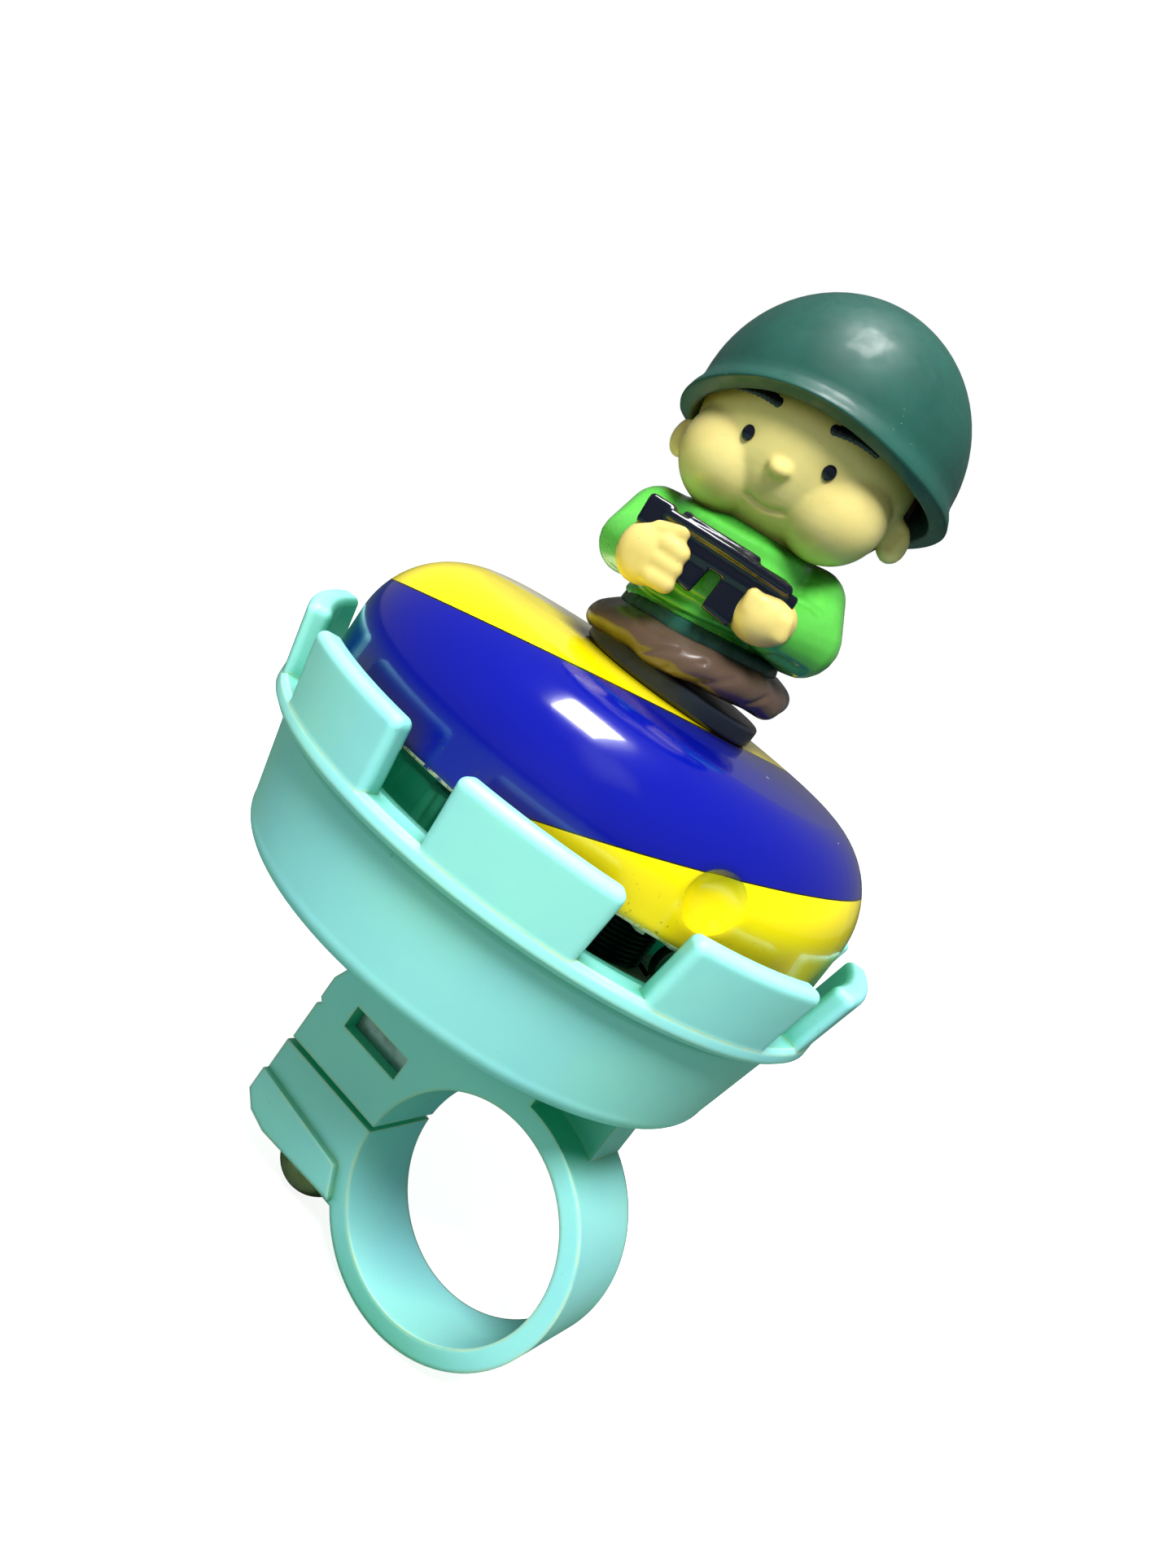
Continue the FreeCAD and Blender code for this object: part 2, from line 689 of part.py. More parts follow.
def spring_anchor():
    """Bent steel bracket on the deck; its rounded arm reaches over the pinion to the spring."""
    foot, tip = anchor_points()
    length = (tip - foot).Length
    round_end = anchor_height / 2
    bottom = pinion_top + 0.3
    arm = box(0, length - round_end, 0, anchor_plate, bottom, bottom + anchor_height)
    end = Part.makeCylinder(round_end, anchor_plate, V(length - round_end, 0, bottom + round_end),
                            V(0, 1, 0))
    leg = box(-1.2, 1.2, 0, anchor_plate, deck_top, bottom + anchor_height)
    base = box(-1.2, 1.2, -1.6, anchor_plate, deck_top, deck_top + 0.8)
    bracket = fuse_all([arm, end, leg, base])
    direction = tip - foot
    bracket.rotate(V(0, 0, 0), V(0, 0, 1), math.degrees(math.atan2(direction.y, direction.x)))
    bracket.translate(foot)
    return bracket


def wire_run(start, end):
    return Part.makeCylinder(spring_wire / 2, (end - start).Length, start, end - start)


def return_spring():
    """Close-wound torsion spring round the idler's hub: one leg at the bracket, one in the wheel."""
    centre = idler_place()
    foot, tip = anchor_points()
    along = (tip - foot).normalize()
    beside = V(along.y, -along.x, 0) * (spring_wire / 2 + 0.03)
    target = tip - along * (anchor_height / 4) + beside - centre
    bearing = math.degrees(math.atan2(target.y, target.x))
    start_turn = bearing + math.degrees(math.acos(spring_radius / target.Length))
    extra = (spoke_azimuth - start_turn) % 360.0
    height = spring_pitch * (spring_turns + extra / 360.0)
    helix = Part.makeHelix(spring_pitch, height, spring_radius)
    section = Part.Wire([Part.makeCircle(spring_wire / 2, V(spring_radius, 0, 0), V(0, 1, 0))])
    coil = Part.Wire(helix.Edges).makePipeShell([section], True, True)
    coil.rotate(V(0, 0, 0), V(0, 0, 1), start_turn)
    low = polar(spring_radius, start_turn)
    reach = math.sqrt(target.Length ** 2 - spring_radius ** 2)
    fixed_leg = wire_run(low, low + polar(reach, start_turn - 90))
    high = polar(spring_radius, spoke_azimuth, height)
    stub_top = wheel_top - 0.3 - spring_bottom
    stub = wire_run(high, V(high.x, high.y, stub_top))
    spring = coil.fuse(fixed_leg).fuse(stub).fuse(Part.makeSphere(spring_wire / 2, high))
    spring.translate(V(centre.x, centre.y, spring_bottom))
    return spring


def dome_spacer():
    """Sleeve that carries the dome at its height above the spinner."""
    bottom = arm_top + clip_thickness + journal_above_clip
    top = dome_top - dome_wall
    return tube(spacer_diameter / 2, stud_diameter / 2 + 0.05, bottom, top)


def dome_profile(radius, rim, top, shoulder):
    """Half outline of the dome: wall, round shoulder, crown falling from a flat seat."""
    corner = V(radius - shoulder, 0, top - dome_crown_rise - shoulder)
    wall_top = V(radius, 0, corner.z)
    slope = math.radians(78)
    bend = V(corner.x + shoulder * math.cos(slope / 2), 0, corner.z + shoulder * math.sin(slope / 2))
    crown_edge = V(corner.x + shoulder * math.cos(slope), 0, corner.z + shoulder * math.sin(slope))
    seat = V(dome_flat_radius, 0, top)
    middle = V((crown_edge.x + seat.x) / 2, 0, top - (top - crown_edge.z) * 0.3)
    edges = [Part.LineSegment(V(0, 0, rim), V(radius, 0, rim)).toShape(),
             Part.LineSegment(V(radius, 0, rim), wall_top).toShape(),
             Part.Arc(wall_top, bend, crown_edge).toShape(),
             Part.Arc(crown_edge, middle, seat).toShape(),
             Part.LineSegment(seat, V(0, 0, top)).toShape(),
             Part.LineSegment(V(0, 0, top), V(0, 0, rim)).toShape()]
    return Part.Face(Part.Wire(edges)).revolve(V(0, 0, 0), V(0, 0, 1), 360)


def bell_dome():
    """Pressed steel gong with the dimple that the strikers hit from inside."""
    outer = dome_profile(dome_radius, dome_rim, dome_top, dome_shoulder)
    cavity = dome_profile(dome_radius - dome_wall, dome_rim - 1, dome_top - dome_wall,
                          dome_shoulder - dome_wall)
    ball_place = polar(dome_radius + dimple_sphere - dimple_depth, dimple_azimuth, dimple_height)
    ball = Part.makeSphere(dimple_sphere, ball_place)
    backed = Part.makeSphere(dimple_sphere + dome_wall, ball_place)
    dome = outer.cut(ball).cut(cavity.cut(backed))
    return dome.cut(cylinder(stud_diameter / 2 + 0.1, dome_top - 3, dome_top + 1))


def dome_nut():
    radius = dome_nut_flats / 2 / math.cos(math.radians(30))
    corners = [polar(radius, 60 * i + 30, dome_top) for i in range(7)]
    nut = Part.Face(Part.makePolygon(corners)).extrude(V(0, 0, dome_nut_height))
    return nut.cut(cylinder(stud_diameter / 2, dome_top - 1, dome_top + 5))


def figure_disc():
    """Black seat between dome and figure, hollow over the dome's nut."""
    disc = cylinder(disc_radius, dome_top + 0.05, disc_top)
    rims = [edge for edge in disc.Edges if edge.Curve.TypeId == "Part::GeomCircle"]
    disc = disc.makeFillet(0.4, rims)
    recess = cylinder(dome_nut_flats / 2 / math.cos(math.radians(30)) + 0.2, dome_top - 1,
                      dome_top + dome_nut_height)
    return disc.cut(recess).cut(cylinder(stud_diameter / 2 + 0.1, dome_top, disc_top + 1))


def on_figure(shape, turn=0.0):
    """Moves a shape from the figure's own frame (front is -Y) to the bell."""
    moved = shape.copy()
    moved.rotate(V(head_shift, 0, 0), V(0, 0, 1), turn)
    moved.rotate(V(0, 0, 0), V(0, 1, 0), -figure_lean)
    moved.rotate(V(0, 0, 0), V(0, 0, 1), figure_turn)
    moved.translate(V(0, 0, figure_base))
    return moved


def figure_trousers():
    """Flared rim and waist, hollow for the end of the stud."""
    profile = [(0, 0.0), (trouser_radius - 1.6, 0.0), (trouser_radius, 0.9), (trouser_radius - 0.2, 1.9),
               (waist_radius + 0.7, 2.6), (waist_radius, 3.4), (waist_radius - 0.3, trouser_height),
               (0, trouser_height)]
    block = turned(profile)
    block.translate(V(0, 0, figure_base))
    return block.cut(cylinder(stud_diameter / 2 + 0.1, figure_base - 1, figure_base + 3.3))


def hand_places():
    return [V(hand_shift + side * hand_spread, -hand_forward, hand_height) for side in (-1, 1)]


def arm_line(side):
    """Start of a sleeve, direction to the hand, and the place of the cuff."""
    hand = hand_places()[0 if side < 0 else 1]
    shoulder = V(torso_shift + side * shoulder_reach, -shoulder_forward, shoulder_height)
    direction = (hand - shoulder).normalize()
    return shoulder, direction, hand - direction * (hand_radius * 0.55)


def torso():
    """Barrel turned from an arc, flat at the neck."""
    low = V(torso_bottom_radius, 0, torso_bottom)
    high = V(neck_radius, 0, neck_height)
    side = Part.Arc(low, V(torso_radius, 0, torso_middle), high).toShape()
    edges = [Part.LineSegment(V(0, 0, torso_bottom), low).toShape(), side,
             Part.LineSegment(high, V(0, 0, neck_height)).toShape(),
             Part.LineSegment(V(0, 0, neck_height), V(0, 0, torso_bottom)).toShape()]
    barrel = Part.Face(Part.Wire(edges)).revolve(V(0, 0, 0), V(0, 0, 1), 360)
    barrel.translate(V(torso_shift, 0, 0))
    return barrel


def figure_shirt():
    """Torso and sleeves, flat at the waist and at the neck."""
    pieces = [torso()]
    for side in (-1, 1):
        shoulder, direction, cuff = arm_line(side)
        pieces.append(Part.makeSphere(shoulder_radius, shoulder))
        pieces.append(Part.makeCone(shoulder_radius - 0.1, cuff_radius, (cuff - shoulder).Length, shoulder,
                                    direction))
    shirt = on_figure(fuse_all(pieces).cut(gun_outline()))
    return shirt.cut(box(-40, 40, -40, 40, figure_base - 10, figure_base + trouser_height))


def gun_outline():
    front = -hand_forward - gun_thickness / 2 - 0.3
    back = front + gun_thickness
    bottom = gun_line - gun_height / 2
    body = box(gun_left, gun_left + gun_length, front, back, bottom, gun_line + gun_height / 2)
    magazine_left = gun_left + gun_length / 2
    magazine = box(magazine_left, magazine_left + magazine_width, front, back,
                   bottom - magazine_drop, bottom + 0.2)
    return fuse_all([body, magazine])


def figure_hands():
    """Two mittens, flat against the cuffs and notched for the gun."""
    hands = []
    for side, place in zip((-1, 1), hand_places()):
        shoulder, direction, cuff = arm_line(side)
        behind = Part.makeCylinder(hand_radius + 3, 10, cuff, direction * -1)
        hand = Part.makeSphere(hand_radius, place, direction)
        hand = hand.cut(behind).cut(gun_outline()).cut(torso())
        hands.append(on_figure(hand))
    return Part.makeCompound(hands)


def toy_gun():
    return on_figure(gun_outline())


def head_ball(radius):
    return Part.makeSphere(radius, V(head_shift, 0, head_middle))


def figure_head():
    """Head with ears and nose, flat at the neck."""
    pieces = [head_ball(head_radius)]
    for side in (-1, 1):
        ear = V(head_shift + side * (head_radius - 0.3), 0.4, head_middle - ear_drop)
        pieces.append(Part.makeSphere(ear_radius, ear))
    pieces.append(Part.makeSphere(nose_radius, V(head_shift, -head_radius + 0.3, head_middle - nose_drop)))
    head = fuse_all(pieces)
    return on_figure(head.cut(box(-30, 30, -30, 30, 0, neck_height)), head_turn)


def helmet_ball(radius):
    return Part.makeSphere(radius, V(head_shift + 0.4, 0.3, helmet_brim + helmet_rise))


def figure_helmet():
    """Open shell with its rim tilted up at the front."""
    shell = helmet_ball(helmet_radius).cut(helmet_ball(helmet_radius - helmet_wall))
    below = box(-40, 40, -40, 40, -40, helmet_brim)
    below.rotate(V(0, 0, helmet_brim), V(1, 0, 0), -helmet_tilt)
    return on_figure(shell.cut(below), head_turn)


def figure_hair():
    """Thin cap of hair under the helmet, lower at the back and sides."""
    hair = head_ball(head_radius + hair_thickness).cut(head_ball(head_radius))
    low = box(-40, 40, -40, 40, -40, helmet_brim - hair_drop)
    low.rotate(V(0, 0, helmet_brim), V(1, 0, 0), -helmet_tilt)
    front = box(-40, 40, -40, 1.0, -40, helmet_brim + 1.5)
    ears = [Part.makeSphere(ear_radius, V(head_shift + side * (head_radius - 0.3), 0.4,
                                          head_middle - ear_drop)) for side in (-1, 1)]
    hair = hair.cut(low).cut(front).cut(ears[0]).cut(ears[1])
    return on_figure(hair, head_turn)


def export(name, shape):
    placed = shape.copy()
    placed.translate(V(-bore_offset, 0, bore_drop))
    placed.exportStep("parts/" + name + ".step")
    print(name, len(placed.Solids), round(placed.Volume, 1), placed.isValid())


os.makedirs("parts", exist_ok=True)
pieces = {
    "base_cup": base_cup(),
    "clamp_bracket": clamp_bracket(),
    "bracket_screws": bracket_screws(),
    "clamp_screw": clamp_screw(),
    "clamp_nut": clamp_nut(),
    "turn_ring": turn_ring(),
    "mechanism_deck": mechanism_deck(),
    "deck_screws": deck_screws(),
    "centre_post": centre_post(),
    "spinner": spinner(),
    "spinner_clip": spinner_clip(),
    "striker_pins": striker_pins(),
    "striker_left": striker_left(),
    "striker_right": striker_right(),
    "idler_post": idler_post(),
    "idler_gear": idler_gear(),
    "idler_clip": idler_clip(),
    "spring_anchor": spring_anchor(),
    "return_spring": return_spring(),
    "dome_spacer": dome_spacer(),
    "bell_dome": bell_dome(),
    "dome_nut": dome_nut(),
    "figure_disc": figure_disc(),
    "figure_trousers": figure_trousers(),
    "figure_shirt": figure_shirt(),
    "figure_hands": figure_hands(),
    "toy_gun": toy_gun(),
    "figure_head": figure_head(),
    "figure_hair": figure_hair(),
    "figure_helmet": figure_helmet(),
}
for name, shape in pieces.items():
    export(name, shape)
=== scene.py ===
import json
import math

import bpy
import numpy as np
from mathutils import Matrix, Vector

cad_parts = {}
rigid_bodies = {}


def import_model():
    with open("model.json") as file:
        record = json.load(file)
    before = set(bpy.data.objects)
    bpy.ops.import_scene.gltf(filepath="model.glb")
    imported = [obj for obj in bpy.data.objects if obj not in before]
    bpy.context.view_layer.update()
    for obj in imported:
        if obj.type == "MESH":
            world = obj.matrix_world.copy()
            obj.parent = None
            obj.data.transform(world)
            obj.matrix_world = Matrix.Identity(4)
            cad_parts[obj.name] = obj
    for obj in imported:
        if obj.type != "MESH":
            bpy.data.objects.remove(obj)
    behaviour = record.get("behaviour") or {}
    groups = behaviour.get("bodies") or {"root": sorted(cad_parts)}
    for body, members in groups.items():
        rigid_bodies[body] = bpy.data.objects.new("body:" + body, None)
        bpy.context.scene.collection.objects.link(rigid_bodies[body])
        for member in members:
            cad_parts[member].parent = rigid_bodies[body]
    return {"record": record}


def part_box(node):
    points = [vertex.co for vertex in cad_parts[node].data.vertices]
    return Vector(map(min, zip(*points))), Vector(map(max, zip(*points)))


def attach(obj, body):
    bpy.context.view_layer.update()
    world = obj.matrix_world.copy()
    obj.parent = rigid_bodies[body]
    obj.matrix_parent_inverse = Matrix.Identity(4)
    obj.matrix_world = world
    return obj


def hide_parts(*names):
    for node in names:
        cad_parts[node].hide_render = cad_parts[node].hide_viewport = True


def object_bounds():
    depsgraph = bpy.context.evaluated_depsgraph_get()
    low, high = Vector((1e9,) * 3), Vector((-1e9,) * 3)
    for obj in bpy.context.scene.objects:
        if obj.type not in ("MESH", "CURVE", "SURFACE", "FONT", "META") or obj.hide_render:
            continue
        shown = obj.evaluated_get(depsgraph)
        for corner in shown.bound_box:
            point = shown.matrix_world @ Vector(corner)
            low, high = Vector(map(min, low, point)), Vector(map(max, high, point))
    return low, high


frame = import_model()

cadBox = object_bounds()
mm = 0.001

# places that come from the frame: the bell's axis, the ring's lower lip and the top of the black disc
domeLow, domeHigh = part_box("bell_dome")
discLow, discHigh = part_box("figure_disc")
domeHeight = 18.4 * mm
bellFoot = Vector(((domeLow.x + domeHigh.x) / 2, (domeLow.y + domeHigh.y) / 2, domeHigh.z - domeHeight))
figureFoot = Vector((bellFoot.x, bellFoot.y, discHigh.z))

# angles in degrees; the aim is measured from the ring's lower lip
camera = {
    "azimuth": 24.849, "elevation": 10.854, "roll": 35.962, "distance": 117.7, "lens": 29.35,
    "aimSide": -0.763, "aimHeight": 7.19, "nearest": 5,
}


def viewAxes():
    a, e, r = (math.radians(camera[k]) for k in ("azimuth", "elevation", "roll"))
    back = Vector((math.sin(a) * math.cos(e), -math.cos(a) * math.cos(e), math.sin(e)))
    level = Vector((math.cos(a), math.sin(a), 0))
    rise = back.cross(level)
    right = level * math.cos(r) + rise * math.sin(r)
    up = rise * math.cos(r) - level * math.sin(r)
    return level, right, up, back


def addCamera():
    level, right, up, back = viewAxes()
    aim = bellFoot + level * camera["aimSide"] * mm + Vector((0, 0, camera["aimHeight"] * mm))
    bpy.ops.object.camera_add()
    cam = bpy.context.object
    cam.data.lens = camera["lens"]
    cam.data.clip_start = camera["nearest"] * mm
    turn = Matrix((right, up, back)).transposed()
    cam.matrix_world = Matrix.Translation(aim + back * camera["distance"] * mm) @ turn.to_4x4()
    bpy.context.scene.camera = cam


# from: along the view's own side, up and back; along: which way the lamp's long side lies
lights = {
    "window": {"from": (0.39, 0.876, 0.28), "away": 300, "size": (125, 85), "along": (0.46, 0, -0.89),
               "watts": 0.8, "mirrored": True},
    "sky": {"from": (0.40, 0.55, 0.74), "away": 420, "size": (150, 150), "along": (1, 0, 0),
            "watts": 3.3, "mirrored": False},
    "fill": {"from": (-0.35, 0.05, 0.93), "away": 420, "size": (300, 300), "along": (1, 0, 0),
             "watts": 0.4, "mirrored": False},
    "low": {"from": (-0.55, -0.62, 0.56), "away": 380, "size": (260, 260), "along": (0, 0, 1),
            "watts": 0.3, "mirrored": True},
}
lampAim = Vector((6.6, -22.9, 15.4))        # on the dome's shoulder, where the window shows


def addLights():
    right, up, back = viewAxes()[1:]
    turn = Matrix((right, up, back)).transposed()
    for name, light in lights.items():
        facing = (turn @ Vector(light["from"])).normalized()
        along = turn @ Vector(light["along"])
        along = (along - facing * along.dot(facing)).normalized()
        bpy.ops.object.light_add(type="AREA")
        lamp = bpy.context.object
        lamp.name = name
        lamp.data.shape = "RECTANGLE"
        lamp.data.size, lamp.data.size_y = (s * mm for s in light["size"])
        lamp.data.energy = light["watts"]
        lamp.visible_glossy = light["mirrored"]
        spin = Matrix((along, facing.cross(along), facing)).transposed()
        place = bellFoot + lampAim * mm + facing * light["away"] * mm
        lamp.matrix_world = Matrix.Translation(place) @ spin.to_4x4()


noise, remap, mix, calc = "ShaderNodeTexNoise", "ShaderNodeMapRange", "ShaderNodeMixRGB", "ShaderNodeMath"


def linear(hexColour):
    # sRGB hex to linear red, green, blue, 1
    parts = [int(hexColour[i:i + 2], 16) / 255 for i in (1, 3, 5)]
    return [c / 12.92 if c <= 0.04045 else ((c + 0.055) / 1.055) ** 2.4 for c in parts] + [1]


def addNode(tree, kind, inputs, out=0, **settings):
    node = tree.nodes.new(kind)
    for key, value in settings.items():
        setattr(node, key, value)
    for key, value in inputs.items():
        if isinstance(value, bpy.types.NodeSocket):
            tree.links.new(value, node.inputs[key])
        else:
            node.inputs[key].default_value = linear(value) if isinstance(value, str) else value
    return node.outputs[out]


def newMaterial(name, colour, roughness, constants):
    # constants go to the shader's own sockets; also gives the place on the piece, in metres
    material = bpy.data.materials.new(name)
    material.use_nodes = True
    tree = material.node_tree
    shader = tree.nodes["Principled BSDF"]
    shader.inputs["Base Color"].default_value = linear(colour)
    shader.inputs["Roughness"].default_value = roughness
    for key, value in constants.items():
        shader.inputs[key].default_value = value
    return material, tree, shader, addNode(tree, "ShaderNodeTexCoord", {}, "Object")


def cornerShadeMask(tree, reach, strength):
    # painted shade: reaches strength in corners and gaps, 0 in the open
    near = addNode(tree, "ShaderNodeAmbientOcclusion", {"Distance": reach * mm}, "AO", samples=8)
    return addNode(tree, remap, {"Value": near, "From Min": 0.9, "From Max": 0.42, "To Max": strength})


# sizes in mm; the grain is drawn coarser than the mould's own, so that it shows
mint = {
    "lit": "#9CE7DC", "cool": "#93DDE3", "shadeAndGlow": "#0B7A55", "worn": "#D9E6A8", "speck": "#5E8F7A",
    "edge": 0.6, "drift": 14, "rub": 2.2, "speckSize": 0.9, "grain": 0.35, "flow": 6, "corner": 12,
    "paintedGlow": 0.3,
}


def mintPolypropylene(name):
    # moulded polypropylene: satin, lets light in a little; painted shade turns its corners deep green,
    # with a painted glow of the same green there, and its rubbed edges are paler and yellower
    material, tree, shader, place = newMaterial(name, mint["lit"], 0.36, {
        "IOR": 1.49, "Subsurface Weight": 0.2, "Subsurface Scale": 1.2 * mm,
        "Subsurface Radius": (0.3, 1.0, 0.8), "Emission Color": linear(mint["shadeAndGlow"])})
    rounded = addNode(tree, "ShaderNodeBevel", {"Radius": mint["edge"] * mm}, samples=6)
    flat = addNode(tree, "ShaderNodeNewGeometry", {}, "Normal")
    same = addNode(tree, "ShaderNodeVectorMath", {0: rounded, 1: flat}, "Value", operation="DOT_PRODUCT")
    edges = addNode(tree, remap, {"Value": same, "From Min": 0.995, "From Max": 0.85})
    drift = addNode(tree, noise, {"Vector": place, "Scale": 1 / (mint["drift"] * mm), "Detail": 3})
    drift = addNode(tree, remap, {"Value": drift, "From Min": 0.3, "From Max": 0.7})
    rub = addNode(tree, noise, {"Vector": place, "Scale": 1 / (mint["rub"] * mm), "Detail": 5})
    rubbed = addNode(tree, remap, {"Value": rub, "From Min": 0.3, "From Max": 0.7,
                                   "To Min": 0.2, "To Max": 0.9})
    worn = addNode(tree, calc, {0: edges, 1: rubbed}, operation="MULTIPLY")
    specks = addNode(tree, noise, {"Vector": place, "Scale": 1 / (mint["speckSize"] * mm)})
    specks = addNode(tree, remap, {"Value": specks, "From Min": 0.76, "From Max": 0.80, "To Max": 0.35})
    colour = addNode(tree, mix, {"Fac": drift, "Color1": mint["lit"], "Color2": mint["cool"]})
    colour = addNode(tree, mix, {"Fac": worn, "Color1": colour, "Color2": mint["worn"]})
    # painted shade: corners and gaps darken towards the green shade colour
    depth = cornerShadeMask(tree, mint["corner"], 0.9)
    colour = addNode(tree, mix, {"Fac": depth, "Color1": colour, "Color2": mint["shadeAndGlow"]})
    colour = addNode(tree, mix, {"Fac": specks, "Color1": colour, "Color2": mint["speck"]})
    tree.links.new(colour, shader.inputs["Base Color"])
    # painted glow: the same corners and gaps shine with that green
    paintedGlow = addNode(tree, calc, {0: depth, 1: mint["paintedGlow"]}, operation="MULTIPLY")
    tree.links.new(paintedGlow, shader.inputs["Emission Strength"])
    grain = addNode(tree, noise, {"Vector": place, "Scale": 1 / (mint["grain"] * mm)})
    fine = addNode(tree, "ShaderNodeBump", {"Height": grain, "Distance": 0.01 * mm, "Strength": 0.5,
                                            "Normal": rounded})
    flow = addNode(tree, noise, {"Vector": place, "Scale": 1 / (mint["flow"] * mm)})
    wave = addNode(tree, "ShaderNodeBump", {"Height": flow, "Distance": 0.12 * mm, "Strength": 0.4,
                                            "Normal": fine})
    tree.links.new(wave, shader.inputs["Normal"])
    gloss = addNode(tree, remap, {"Value": rub, "From Min": 0.3, "From Max": 0.7,
                                  "To Min": 0.28, "To Max": 0.42})
    tree.links.new(gloss, shader.inputs["Roughness"])
    return material


enamel = {
    "yellow": "#FFEC00", "yellowShade": "#DCC700", "blue": "#030D84", "line": "#15150C", "cream": "#EFE9C4",
    "bare": "#E9E2B4", "speck": "#3B3412", "chip": "#C9CFE6",
    # each edge of the blue band is a slanted plane: height at the axis in mm, rise per mm along X and Y
    "bandFoot": (5.31, 0.358, 0.029), "bandTop": (16.55, 0.217, -0.037),
    "lineWidth": 0.13, "creamSide": (-0.69, 0.72, 6.8),
    "speckSize": 0.5, "peel": 1.6, "smear": 7, "wobble": 5, "nickGap": 5.5, "nick": 0.03,
    "rim": 5.42, "soften": 1.4, "hollow": 3,
    "shadeFrom": 14, "shadeTo": 7, "dirtFrom": 9.5, "dirtTo": 5.4,      # heights in mm
}


def planeHeight(tree, axes, plane):
    # height in mm above a slanted plane
    slantX = addNode(tree, calc, {0: axes["X"], 1: -plane[1], 2: axes["Z"]}, operation="MULTIPLY_ADD")
    slantY = addNode(tree, calc, {0: axes["Y"], 1: -plane[2], 2: slantX}, operation="MULTIPLY_ADD")
    return addNode(tree, calc, {0: slantY, 1: plane[0]}, operation="SUBTRACT")


